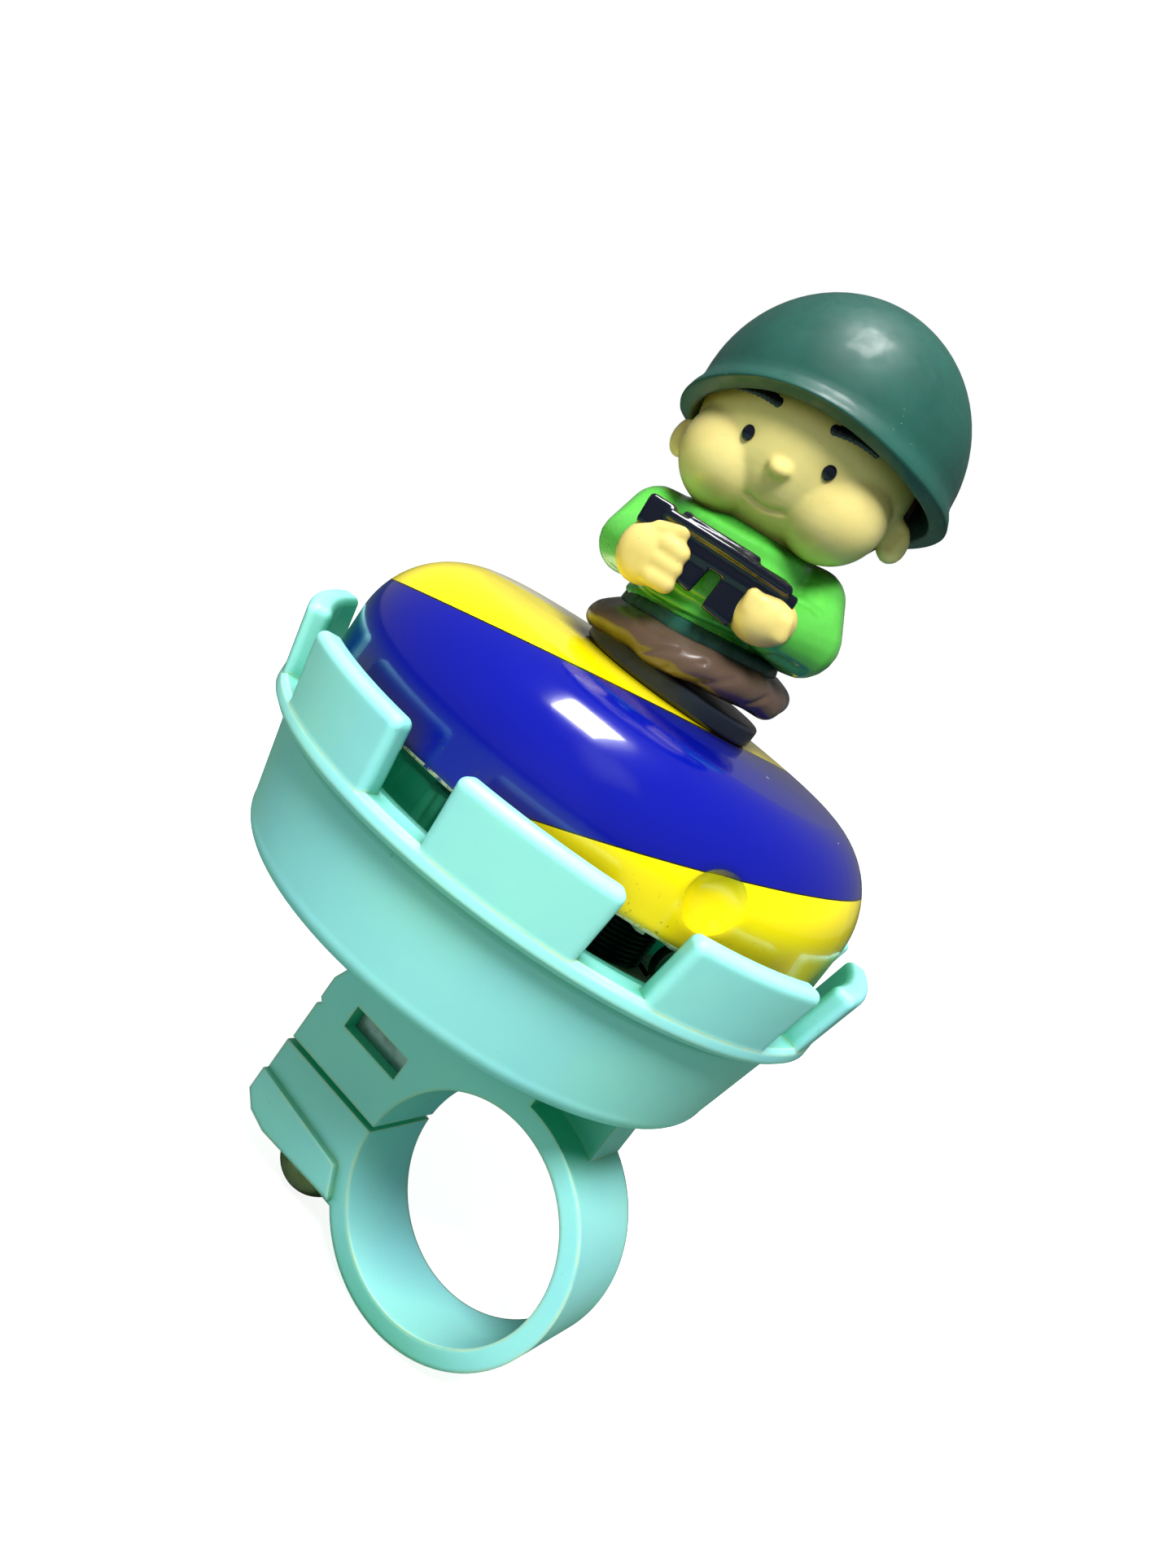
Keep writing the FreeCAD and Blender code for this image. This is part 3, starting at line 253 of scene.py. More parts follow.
def domeEnamel():
    # sheet steel under stoved enamel: deep gloss, crisp printed band with a thin dark line at each edge,
    # chips at the rim, dirt held by the lower yellow and painted shade in the dimple
    material, tree, shader, place = newMaterial("stovedEnamel", enamel["yellow"], 0.14, {
        "IOR": 1.5, "Coat Weight": 0.6, "Coat Roughness": 0.05})
    centred = addNode(tree, "ShaderNodeVectorMath", {0: place, 1: tuple(bellFoot)}, operation="SUBTRACT")
    inMm = addNode(tree, "ShaderNodeVectorMath", {0: centred, "Scale": 1 / mm}, operation="SCALE")
    axes = addNode(tree, "ShaderNodeSeparateXYZ", {"Vector": inMm}).node.outputs
    overFoot = planeHeight(tree, axes, enamel["bandFoot"])
    overTop = planeHeight(tree, axes, enamel["bandTop"])
    sideX, sideY, sideAt = enamel["creamSide"]
    toCream = addNode(tree, calc, {0: axes["X"], 1: sideX, 2: -sideAt}, operation="MULTIPLY_ADD")
    toCream = addNode(tree, calc, {0: axes["Y"], 1: sideY, 2: toCream}, operation="MULTIPLY_ADD")
    beyond = addNode(tree, calc, {0: toCream, 1: 0}, operation="GREATER_THAN")
    onCrown = addNode(tree, calc, {0: overTop, 1: 0}, operation="GREATER_THAN")
    cream = addNode(tree, calc, {0: beyond, 1: onCrown}, operation="MULTIPLY")
    shade = addNode(tree, remap, {"Value": axes["Z"], "From Min": enamel["shadeFrom"],
                                  "From Max": enamel["shadeTo"]})
    colour = addNode(tree, mix, {"Fac": shade, "Color1": enamel["yellow"], "Color2": enamel["yellowShade"]})
    colour = addNode(tree, mix, {"Fac": cream, "Color1": colour, "Color2": enamel["cream"]})
    overFootSide = addNode(tree, calc, {0: overFoot, 1: 0}, operation="GREATER_THAN")
    underTop = addNode(tree, calc, {0: overTop, 1: 0}, operation="LESS_THAN")
    band = addNode(tree, calc, {0: overFootSide, 1: underTop}, operation="MULTIPLY")
    colour = addNode(tree, mix, {"Fac": band, "Color1": colour, "Color2": enamel["blue"]})
    for edge in (overFoot, overTop):
        line = addNode(tree, calc, {0: edge, 1: 0, 2: enamel["lineWidth"] / 2}, operation="COMPARE")
        colour = addNode(tree, mix, {"Fac": line, "Color1": colour, "Color2": enamel["line"]})
    # painted shade: the dimple and other hollows darken towards the speck colour
    hollow = cornerShadeMask(tree, enamel["hollow"], 0.55)
    colour = addNode(tree, mix, {"Fac": hollow, "Color1": colour, "Color2": enamel["speck"]})
    fine = addNode(tree, noise, {"Vector": place, "Scale": 1 / (enamel["speckSize"] * mm), "Detail": 3})
    low = addNode(tree, remap, {"Value": axes["Z"], "From Min": enamel["dirtFrom"],
                                "From Max": enamel["dirtTo"], "To Max": 0.7})
    dirt = addNode(tree, remap, {"Value": fine, "From Min": 0.66, "From Max": 0.72})
    dirt = addNode(tree, calc, {0: dirt, 1: low}, operation="MULTIPLY")
    colour = addNode(tree, mix, {"Fac": dirt, "Color1": colour, "Color2": enamel["speck"]})
    wobble = addNode(tree, noise, {"Vector": place, "Scale": 1 / (enamel["wobble"] * mm), "Detail": 1})
    rim = addNode(tree, calc, {0: wobble, 1: -0.5, 2: axes["Z"]}, operation="MULTIPLY_ADD")
    rim = addNode(tree, calc, {0: rim, 1: enamel["rim"]}, operation="LESS_THAN")
    chipped = addNode(tree, remap, {"Value": fine, "From Min": 0.35, "From Max": 0.5})
    chipped = addNode(tree, calc, {0: rim, 1: chipped}, operation="MULTIPLY")
    colour = addNode(tree, mix, {"Fac": chipped, "Color1": colour, "Color2": enamel["bare"]})
    nick = addNode(tree, "ShaderNodeTexVoronoi", {"Vector": place, "Scale": 1 / (enamel["nickGap"] * mm)})
    nick = addNode(tree, calc, {0: nick, 1: enamel["nick"]}, operation="LESS_THAN")
    nick = addNode(tree, calc, {0: nick, 1: band}, operation="MULTIPLY")
    colour = addNode(tree, mix, {"Fac": nick, "Color1": colour, "Color2": enamel["chip"]})
    tree.links.new(colour, shader.inputs["Base Color"])
    pressed = addNode(tree, "ShaderNodeBevel", {"Radius": enamel["soften"] * mm}, samples=10)
    peel = addNode(tree, noise, {"Vector": place, "Scale": 1 / (enamel["peel"] * mm)})
    ripple = addNode(tree, "ShaderNodeBump", {"Height": peel, "Distance": 0.012 * mm, "Strength": 0.5,
                                              "Normal": pressed})
    tree.links.new(ripple, shader.inputs["Normal"])
    smear = addNode(tree, noise, {"Vector": place, "Scale": 1 / (enamel["smear"] * mm), "Detail": 4})
    gloss = addNode(tree, remap, {"Value": smear, "From Min": 0.3, "From Max": 0.75,
                                  "To Min": 0.1, "To Max": 0.22})
    tree.links.new(gloss, shader.inputs["Roughness"])
    return material


# pattern sizes in mm
vinyl = {"cloud": 5, "fold": 2.5, "pit": 0.32, "skin": 1.3, "scratch": 0.5, "patch": 6.5, "rubbed": "#A9B89A"}


def paintedVinyl(name, colour, shade, roughness, dirt="#3A331E", coat=0.25, scratches=0.0):
    # soft vinyl sprayed and touched in by hand: rounded, a little glossy, painted shade in the folds,
    # with dust in the pits and pale rub marks where scratches is above nought
    material, tree, shader, place = newMaterial(name, colour, roughness, {
        "IOR": 1.5, "Coat Weight": coat, "Coat Roughness": 0.12, "Subsurface Weight": 0.08,
        "Subsurface Scale": 0.8 * mm})
    cloud = addNode(tree, noise, {"Vector": place, "Scale": 1 / (vinyl["cloud"] * mm), "Detail": 3})
    cloud = addNode(tree, remap, {"Value": cloud, "From Min": 0.4, "From Max": 0.75, "To Max": 0.25})
    body = addNode(tree, mix, {"Fac": cloud, "Color1": colour, "Color2": shade})
    # painted shade: folds and creases darken towards the shade colour
    fold = cornerShadeMask(tree, vinyl["fold"], 0.75)
    body = addNode(tree, mix, {"Fac": fold, "Color1": body, "Color2": shade})
    pits = addNode(tree, noise, {"Vector": place, "Scale": 1 / (vinyl["pit"] * mm)})
    pits = addNode(tree, remap, {"Value": pits, "From Min": 0.74, "From Max": 0.79, "To Max": 0.5})
    body = addNode(tree, mix, {"Fac": pits, "Color1": body, "Color2": dirt})
    if scratches:
        drawn = addNode(tree, "ShaderNodeMapping", {"Vector": place, "Scale": (1, 1, 5)})
        marks = addNode(tree, noise, {"Vector": drawn, "Scale": 1 / (vinyl["scratch"] * mm), "Detail": 4})
        marks = addNode(tree, remap, {"Value": marks, "From Min": 0.70, "From Max": 0.74,
                                      "To Max": scratches})
        patch = addNode(tree, noise, {"Vector": place, "Scale": 1 / (vinyl["patch"] * mm), "Detail": 1})
        patch = addNode(tree, remap, {"Value": patch, "From Min": 0.58, "From Max": 0.66})
        marks = addNode(tree, calc, {0: marks, 1: patch}, operation="MULTIPLY")
        body = addNode(tree, mix, {"Fac": marks, "Color1": body, "Color2": vinyl["rubbed"]})
    tree.links.new(body, shader.inputs["Base Color"])
    skin = addNode(tree, noise, {"Vector": place, "Scale": 1 / (vinyl["skin"] * mm), "Detail": 4})
    bump = addNode(tree, "ShaderNodeBump", {"Height": skin, "Distance": 0.05 * mm, "Strength": 0.35})
    tree.links.new(bump, shader.inputs["Normal"])
    gloss = addNode(tree, remap, {"Value": skin, "From Min": 0.3, "From Max": 0.7,
                                  "To Min": roughness * 0.8, "To Max": roughness * 1.25})
    tree.links.new(gloss, shader.inputs["Roughness"])
    return material


steel = {"patch": 2.5, "edge": 0.12}      # mm


def metal(name, colour, roughness, dull, grain=0.6):
    # bare or plated steel: bright, brushed by tumbling, dull patches where it has oxidised
    material, tree, shader, place = newMaterial(name, colour, roughness, {"Metallic": 1.0})
    patch = addNode(tree, noise, {"Vector": place, "Scale": 1 / (steel["patch"] * mm), "Detail": 4})
    patch = addNode(tree, remap, {"Value": patch, "From Min": 0.45, "From Max": 0.7})
    tone = addNode(tree, mix, {"Fac": patch, "Color1": colour, "Color2": dull})
    tree.links.new(tone, shader.inputs["Base Color"])
    gloss = addNode(tree, remap, {"Value": patch, "To Min": roughness, "To Max": roughness + 0.22})
    tree.links.new(gloss, shader.inputs["Roughness"])
    rounded = addNode(tree, "ShaderNodeBevel", {"Radius": steel["edge"] * mm}, samples=4)
    lines = addNode(tree, noise, {"Vector": place, "Scale": 1 / (grain * mm), "Detail": 3})
    bump = addNode(tree, "ShaderNodeBump", {"Height": lines, "Distance": 0.015 * mm, "Strength": 0.5,
                                            "Normal": rounded})
    tree.links.new(bump, shader.inputs["Normal"])
    return material


def makeMaterials():
    # one material for each slot of the record
    made = {}
    for slot in ("cup_plastic", "bracket_plastic", "ring_plastic", "deck_plastic"):
        made[slot] = mintPolypropylene("mint" + slot.split("_")[0].title())
    made["dome_paint"] = domeEnamel()
    made["zinc_yellow"] = metal("yellowZinc", "#C8B98E", 0.24, "#8E8450")
    made["steel_zinc"] = metal("brightZinc", "#B9BBC4", 0.30, "#80828A")
    made["bracket_steel"] = metal("dullSteel", "#9A948A", 0.42, "#6F675C")
    made["turned_steel"] = metal("turnedSteel", "#BDBDBD", 0.25, "#8F8F8C", 0.25)
    made["clip_steel"] = metal("bluedSteel", "#4C4F55", 0.35, "#2F3033")
    made["striker_steel"] = metal("stampedSteel", "#ADADA8", 0.33, "#7E7A72")
    made["spring_steel"] = metal("oiledWire", "#26332E", 0.30, "#141A17")
    made["gear_nylon"] = paintedVinyl("acetal", "#E4E0D0", "#CFC8AE", 0.40, coat=0.0)
    made["disc_black"] = paintedVinyl("satinBlack", "#1D252F", "#0D1015", 0.36, dirt="#3C4044", coat=0.2)
    made["trouser_brown"] = paintedVinyl("brownVinyl", "#4F3F35", "#2A1E17", 0.34, coat=0.35)
    made["shirt_green"] = paintedVinyl("greenVinyl", "#5BC14A", "#126A10", 0.24, dirt="#1F5A16", coat=0.5)
    made["hand_skin"] = paintedVinyl("skinVinyl", "#D2BE72", "#9C8038", 0.36, coat=0.3)
    made["head_skin"] = paintedVinyl("skinVinylHead", "#E8D68A", "#B0913F", 0.34, coat=0.3)
    made["gun_black"] = paintedVinyl("blackGloss", "#080C1C", "#04050A", 0.2, dirt="#1E2430", coat=0.5)
    made["hair_brown"] = paintedVinyl("hairBrown", "#4A2A1A", "#26130A", 0.34)
    made["helmet_green"] = paintedVinyl("helmetGreen", "#1C4A41", "#0B221A", 0.48, dirt="#12281F",
                                        coat=0.12, scratches=0.8)
    return made


# figure pieces are drawn in millimetres, front towards -Y, foot at nought
figure = {"turn": 24.85, "lean": 8.0, "headTurn": -9.0, "headShift": 0.8}      # degrees, mm


def deselectAll():
    if bpy.context.object and bpy.context.object.mode != "OBJECT":
        bpy.ops.object.mode_set(mode="OBJECT")
    bpy.ops.object.select_all(action="DESELECT")


def useOnly(piece):
    deselectAll()
    piece.select_set(True)
    bpy.context.view_layer.objects.active = piece


def fixPlace():
    bpy.ops.object.transform_apply(location=True, rotation=True, scale=True)


def applyModifier(piece, kind, **settings):
    useOnly(piece)
    modifier = piece.modifiers.new(kind.title(), kind)
    for key, value in settings.items():
        setattr(modifier, key, value)
    bpy.ops.object.modifier_apply(modifier=modifier.name)


def addBall(centre, radii, turn=(0, 0, 0), segments=40):
    deselectAll()
    bpy.ops.mesh.primitive_uv_sphere_add(segments=segments, ring_count=segments // 2, radius=1,
                                         location=centre, scale=radii,
                                         rotation=[math.radians(t) for t in turn])
    fixPlace()
    return bpy.context.object


def addLimb(points):
    # balls run along a bent line; each point is x, y, z, radius
    balls = []
    for (ax, ay, az, ar), (bx, by, bz, br) in zip(points, points[1:]):
        steps = max(2, round(math.dist((ax, ay, az), (bx, by, bz)) / (0.25 * min(ar, br))))
        for i in range(steps + 1):
            t = i / steps
            r = ar + (br - ar) * t
            balls.append(addBall((ax + (bx - ax) * t, ay + (by - ay) * t, az + (bz - az) * t), (r, r, r),
                                 segments=20))
    return balls


def addBlock(centre, size, turn=(0, 0, 0), bevel=0.25):
    deselectAll()
    bpy.ops.mesh.primitive_cube_add(size=1, location=centre, scale=size,
                                    rotation=[math.radians(t) for t in turn])
    fixPlace()
    bpy.ops.object.mode_set(mode="EDIT")
    bpy.ops.mesh.select_all(action="SELECT")
    bpy.ops.mesh.bevel(offset=bevel, segments=3, affect="EDGES")
    bpy.ops.object.mode_set(mode="OBJECT")
    return bpy.context.object


def melt(name, parts, grid, smoothing):
    # joins parts into one moulded skin
    deselectAll()
    for part in parts:
        part.select_set(True)
    bpy.context.view_layer.objects.active = parts[0]
    if len(parts) > 1:
        bpy.ops.object.join()
    piece = bpy.context.object
    piece.name = piece.data.name = name
    applyModifier(piece, "REMESH", mode="VOXEL", voxel_size=grid, use_smooth_shade=True)
    applyModifier(piece, "SMOOTH", factor=0.5, iterations=smoothing)
    return piece


def corners(piece):
    flat = np.empty(len(piece.data.vertices) * 3)
    piece.data.vertices.foreach_get("co", flat)
    return flat.reshape(-1, 3)


def normals(piece):
    flat = np.empty(len(piece.data.vertices) * 3)
    piece.data.vertices.foreach_get("normal", flat)
    return flat.reshape(-1, 3)


def setCorners(piece, places):
    piece.data.vertices.foreach_set("co", places.ravel())
    piece.data.update()


def pressLine(piece, points, width, depth):
    # pushes the skin in along a line of points, or out when depth is negative
    places = corners(piece)
    nearest = np.full(len(places), 1e9)
    for a, b in zip(points, points[1:]):
        a, b = np.array(a, float), np.array(b, float)
        along = b - a
        share = np.clip((places - a) @ along / (along @ along), 0, 1)
        nearest = np.minimum(nearest, np.linalg.norm(places - a - share[:, None] * along, axis=1))
    push = depth * np.exp(-(nearest / width) ** 2)
    setCorners(piece, places - normals(piece) * push[:, None])


def pressSpot(piece, centre, width, depth):
    places = corners(piece)
    push = depth * np.exp(-(np.linalg.norm(places - np.array(centre, float), axis=1) / width) ** 2)
    setCorners(piece, places - normals(piece) * push[:, None])


def turned(name, outline, sides):
    # a round solid drawn ring by ring from its foot; outline holds radius and height
    deselectAll()
    radius, height = outline[0]
    bpy.ops.mesh.primitive_circle_add(vertices=sides, radius=radius, fill_type="NGON",
                                      location=(0, 0, height))
    fixPlace()
    piece = bpy.context.object
    piece.name = piece.data.name = name
    bpy.ops.object.mode_set(mode="EDIT")
    bpy.ops.mesh.select_all(action="SELECT")
    for (wide, low), (nextWide, high) in zip(outline, outline[1:]):
        bpy.ops.mesh.extrude_region_move(TRANSFORM_OT_translate={"value": (0, 0, high - low)})
        grow = nextWide / wide
        bpy.ops.transform.resize(value=(grow, grow, 1), center_override=(0, 0, 0))
    bpy.ops.mesh.select_all(action="SELECT")
    bpy.ops.mesh.normals_make_consistent(inside=False)
    bpy.ops.object.mode_set(mode="OBJECT")
    return piece


def cutPlane(piece, point, direction, fill=True):
    # takes away what lies on the side that direction points to
    useOnly(piece)
    bpy.ops.object.mode_set(mode="EDIT")
    bpy.ops.mesh.select_all(action="SELECT")
    bpy.ops.mesh.bisect(plane_co=point, plane_no=direction, clear_outer=True, clear_inner=False,
                        use_fill=fill)
    bpy.ops.object.mode_set(mode="OBJECT")


def standOnFigure(piece, *nodes, slot, withHead=False):
    # moves a finished piece from the figure's own frame to the bell and gives it its finish;
    # what is on the head turns with it
    shift = Vector((figure["headShift"], 0, 0))
    place = Matrix.Translation(figureFoot) @ Matrix.Scale(mm, 4)
    place = place @ Matrix.Rotation(math.radians(figure["turn"]), 4, "Z")
    place = place @ Matrix.Rotation(math.radians(-figure["lean"]), 4, "Y")
    if withHead:
        spin = Matrix.Rotation(math.radians(figure["headTurn"]), 4, "Z")
        place = place @ Matrix.Translation(shift) @ spin @ Matrix.Translation(-shift)
    useOnly(piece)
    piece.matrix_world = place
    fixPlace()
    bpy.ops.object.shade_smooth()
    piece.data.materials.clear()
    piece.data.materials.append(finishes[slot])
    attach(piece, "base")
    if nodes:
        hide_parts(*nodes)


head = {
    "centre": (0.8, 0, 22.3), "radii": (10.1, 9.5, 9.5), "cheek": (4.6, -3.4, 18.6, 5.0),
    "ear": (10.2, 0.2, 18.6), "earSize": (1.5, 1.0, 2.0), "grid": 0.22,
    "noseDrop": 3.4, "nose": (1.05, 0.9, 0.8), "eyeDrop": 1.9, "eyeSpread": 3.7, "eye": (0.62, 0.32, 0.72),
    "browRise": 0.9, "browSpread": 4.3, "browWidth": 3.6, "browSteps": 9,
    "mouthDrop": 6.6, "mouthHalf": 1.6, "mouthBend": 0.35, "neckHeight": 12.4,
}


def onFace(side, drop, sink=0.0):
    # point on the front of the head, side and drop in mm from its middle
    cx, cy, cz = head["centre"]
    rx, ry, rz = head["radii"]
    forward = math.sqrt(max(0.0, 1 - (side / rx) ** 2 - (drop / rz) ** 2))
    return cx + side, cy - ry * forward + sink, cz - drop


def makeHead():
    cx = head["centre"][0]
    parts = [addBall(head["centre"], head["radii"], segments=64)]
    sideX, forwardY, cheekZ, cheekR = head["cheek"]
    earX, earY, earZ = head["ear"]
    for side in (-1, 1):
        parts.append(addBall((cx + side * sideX, forwardY, cheekZ), (cheekR,) * 3))
        parts.append(addBall((cx + side * earX, earY, earZ), head["earSize"],
                             turn=(0, -12 * side, 20 * side)))
    parts.append(addBall(onFace(0, head["noseDrop"], -0.05), head["nose"]))
    piece = melt("figureHead", parts, head["grid"], 8)
    for side in (-1, 1):
        hollow = [(cx + side * (earX + 0.3), earY - 1.1, earZ + 0.9),
                  (cx + side * (earX + 0.1), earY - 1.2, earZ - 0.5)]
        pressLine(piece, hollow, 0.55, 0.4)
        pressSpot(piece, onFace(side * head["eyeSpread"], head["eyeDrop"]), 0.9, 0.12)
    half = head["mouthHalf"]
    mouth = [onFace(s, head["mouthDrop"] - head["mouthBend"] * (s / half) ** 2)
             for s in (-half, -half / 2, 0, half / 2, half)]
    pressLine(piece, mouth, 0.28, 0.28)
    cutPlane(piece, (0, 0, head["neckHeight"]), (0, 0, -1))
    standOnFigure(piece, "figure_head", slot="head_skin", withHead=True)


def makeFace():
    # round black eyes and soft arched brows, painted proud of the skin
    parts = []
    for side in (-1, 1):
        eye = onFace(side * head["eyeSpread"], head["eyeDrop"], 0.12)
        parts.append(addBall(eye, head["eye"], turn=(0, 0, 20 * side)))
        for i in range(head["browSteps"]):
            t = i / (head["browSteps"] - 1)
            across = head["browSpread"] + (t - 0.5) * head["browWidth"]
            rise = head["browRise"] + 0.5 * math.sin(math.pi * (0.15 + 0.7 * t))
            thick = 0.34 + 0.26 * math.sin(math.pi * min(1, 0.25 + t * 0.7))
            parts.append(addBall(onFace(side * across, -rise, 0.10), (0.42, 0.26, thick), segments=16))
    piece = melt("figureFace", parts, 0.10, 4)
    standOnFigure(piece, slot="gun_black", withHead=True)


helmet = {
    "centre": (1.8, 0.3, 23.5), "radii": (12.1, 11.9, 12.3), "tilt": 13,
    "flare": ((0.2, -0.8), (1.4, -0.7), (3.2, -0.8), (2.2, -0.9)),      # percent wider, mm down
    "wall": 1.6, "cutHeight": 0.3, "edge": 0.3,
    # in mm: the rim's waves, its rise over the brow, and how far up they reach
    "warp": 0.35, "peak": 0.9, "warpDepth": 3,
}


def makeHelmet():
    piece = addBall((0, 0, 0), helmet["radii"], segments=96)
    cutPlane(piece, (0, 0, helmet["cutHeight"]), (0, 0, -1), fill=False)
    useOnly(piece)
    bpy.ops.object.mode_set(mode="EDIT")
    bpy.ops.mesh.select_mode(type="EDGE")
    bpy.ops.mesh.select_all(action="DESELECT")
    bpy.ops.mesh.select_non_manifold()
    for widen, down in helmet["flare"]:
        bpy.ops.mesh.extrude_region_move(TRANSFORM_OT_translate={"value": (0, 0, down)})
        bpy.ops.transform.resize(value=(1 + widen / 100, 1 + widen / 100, 1))
    bpy.ops.object.mode_set(mode="OBJECT")
    applyModifier(piece, "SOLIDIFY", thickness=helmet["wall"], offset=-1)
    applyModifier(piece, "BEVEL", width=helmet["edge"], segments=3, limit_method="ANGLE",
                  angle_limit=math.radians(50))
    places = corners(piece)
    low = np.clip(-places[:, 2] / helmet["warpDepth"], 0, 1)
    bearing = np.arctan2(places[:, 1], places[:, 0])
    waves = helmet["warp"] * np.sin(3 * bearing + 0.6) + helmet["peak"] * np.clip(-np.sin(bearing), 0, 1)
    places[:, 2] += low * waves
    setCorners(piece, places)
    useOnly(piece)
    piece.rotation_euler = (math.radians(-helmet["tilt"]), 0, 0)
    piece.location = helmet["centre"]
    fixPlace()
    piece.name = piece.data.name = "figureHelmet"
    standOnFigure(piece, "figure_helmet", slot="helmet_green", withHead=True)


# mm; the grooves run down the back, and the step between them is in degrees
hair = {"thick": 0.55, "front": 1.6, "drop": 8.0, "grooves": 14, "firstGroove": 8, "grooveStep": 12.5,
        "grooveRadii": (10.5, 10.1), "grid": 0.25}


def makeHair():
    cx, cy, cz = head["centre"]
    piece = addBall((cx, cy + 0.1, cz), [r + hair["thick"] for r in head["radii"]], segments=64)
    cutPlane(piece, (cx, cy + hair["front"], cz), (0, -1, 0.10))
    cutPlane(piece, (0, 0, cz - hair["drop"]), (0, 0.12, -1))
    piece = melt("figureHair", [piece], hair["grid"], 10)
    reachX, reachY = hair["grooveRadii"]
    for i in range(hair["grooves"]):
        a = math.radians(hair["firstGroove"] + i * hair["grooveStep"])
        x, y = cx + reachX * math.cos(a), cy + reachY * math.sin(a)
        pressLine(piece, [(x, y, cz - 1), (x * 0.99, y * 0.99, cz - 6)], 0.35, 0.22)
    standOnFigure(piece, "figure_hair", slot="hair_brown", withHead=True)


shirt = {
    "grid": 0.22,
    # centre, radii and number of sides: chest, shoulders, waist
    "body": (((-0.6, 0, 8.9), (8.0, 7.2, 6.2), 64), ((-0.6, 0.4, 12.0), (7.6, 6.6, 3.2), 40),
             ((-0.6, 0, 5.2), (7.6, 7.0, 2.6), 64)),
    # shoulder, elbow and wrist, with the radius there
    "sleeves": ([(-8.0, -0.6, 11.0, 3.0), (-9.0, -2.4, 8.2, 2.9), (-7.2, -6.6, 8.0, 2.5)],
                [(7.2, -0.4, 10.8, 3.2), (7.9, -2.2, 7.8, 3.6), (5.0, -6.6, 7.6, 2.6)]),
    "belly": [(-5.2, -6.1, 6.6), (-2.0, -7.3, 6.1), (1.4, -7.3, 6.1), (4.4, -6.4, 5.4)],
    "folds": ([(-9.9, -3.6, 6.6), (-8.4, -5.2, 5.9)], [(8.9, -4.4, 5.6), (6.6, -6.9, 5.4), (5.2, -7.4, 6.2)],
              [(7.9, -5.2, 9.8), (5.6, -6.0, 10.4)],
              [(-6.6, -5.4, 11.4), (-4.8, -6.2, 11.9), (-3.2, -6.6, 12.6)],
              [(3.2, -6.4, 12.6), (5.0, -5.6, 12.0), (6.4, -4.4, 11.9)]),
    "collarHeight": 13.2, "hemHeight": 5.0, "cutHeight": 3.4,
}


def loopRound(radiusX, radiusY, height, wave=0.0):
    # a closed line round the body, which may rise and fall three times
    middle = shirt["body"][0][0][0]
    turns = [math.radians(d) for d in range(-180, 181, 20)]
    return [(middle + radiusX * math.sin(a), -radiusY * math.cos(a), height + wave * math.sin(3 * a))
            for a in turns]


def makeShirt():
    parts = [addBall(centre, radii, segments=sides) for centre, radii, sides in shirt["body"]]
    for sleeve in shirt["sleeves"]:
        parts += addLimb(sleeve)
    piece = melt("figureShirt", parts, shirt["grid"], 10)
    pressLine(piece, loopRound(7.6, 7.2, shirt["hemHeight"], 0.25), 0.55, 0.6)
    pressLine(piece, shirt["belly"], 0.5, 0.6)
    pressLine(piece, [(x, y, z + 0.9) for x, y, z in shirt["belly"]], 0.6, -0.35)
    for fold in shirt["folds"]:
        pressLine(piece, fold, 0.4, 0.35)
    pressLine(piece, loopRound(6.4, 6.4, shirt["collarHeight"]), 0.7, -0.35)
    cutPlane(piece, (0, 0, shirt["cutHeight"]), (0.12, 0, -1))
    standOnFigure(piece, "figure_shirt", slot="shirt_green")


# knuckle and tip are the first finger's, with their radii; each next one is lower by the drop for its
# knuckle and tip, and on the right hand it is aside by the step
hands = {
    "grid": 0.16,
    "leftPalm": ((-6.9, -9.0, 8.2), (2.6, 1.9, 2.9)), "leftFingers": 3,
    "leftKnuckle": (-5.8, -10.0, 9.5, 1.0), "leftTip": (-4.4, -10.1, 9.3, 0.9), "leftDrop": (1.4, 1.35),
    "leftThumb": [(-6.8, -9.6, 10.3, 0.95), (-5.0, -9.9, 10.9, 0.8)], "leftDent": (-7.6, -10.8, 7.2),
    "rightPalm": ((4.0, -9.0, 7.8), (2.9, 2.1, 2.4)), "rightFingers": 4,
    "rightKnuckle": (2.4, -10.3, 9.1, 0.72), "rightTip": (2.5, -10.2, 8.0, 0.8), "rightDrop": (0.25, 0.3),
    "rightStep": 1.1,
}


def addFinger(number, knuckle, tip, drop, step):
    # number counts from nought
    line = [(x + number * step, y, z - number * down, r) for (x, y, z, r), down in zip((knuckle, tip), drop)]
    return addLimb(line)


def makeHands():
    left = [addBall(*hands["leftPalm"], turn=(0, 12, 10))]
    for i in range(hands["leftFingers"]):
        left += addFinger(i, hands["leftKnuckle"], hands["leftTip"], hands["leftDrop"], 0)
    left += addLimb(hands["leftThumb"])
    right = [addBall(*hands["rightPalm"], turn=(0, -14, 0))]
    for i in range(hands["rightFingers"]):
        right += addFinger(i, hands["rightKnuckle"], hands["rightTip"], hands["rightDrop"],
                           hands["rightStep"])
    pieces = [melt("leftHand", left, hands["grid"], 22), melt("rightHand", right, hands["grid"], 34)]
    pressSpot(pieces[0], hands["leftDent"], 0.9, 0.12)
    deselectAll()
    for piece in pieces:
        piece.select_set(True)
    bpy.context.view_layer.objects.active = pieces[0]
    bpy.ops.object.join()
    piece = bpy.context.object
    piece.name = piece.data.name = "figureHands"
    standOnFigure(piece, "figure_hands", slot="hand_skin")


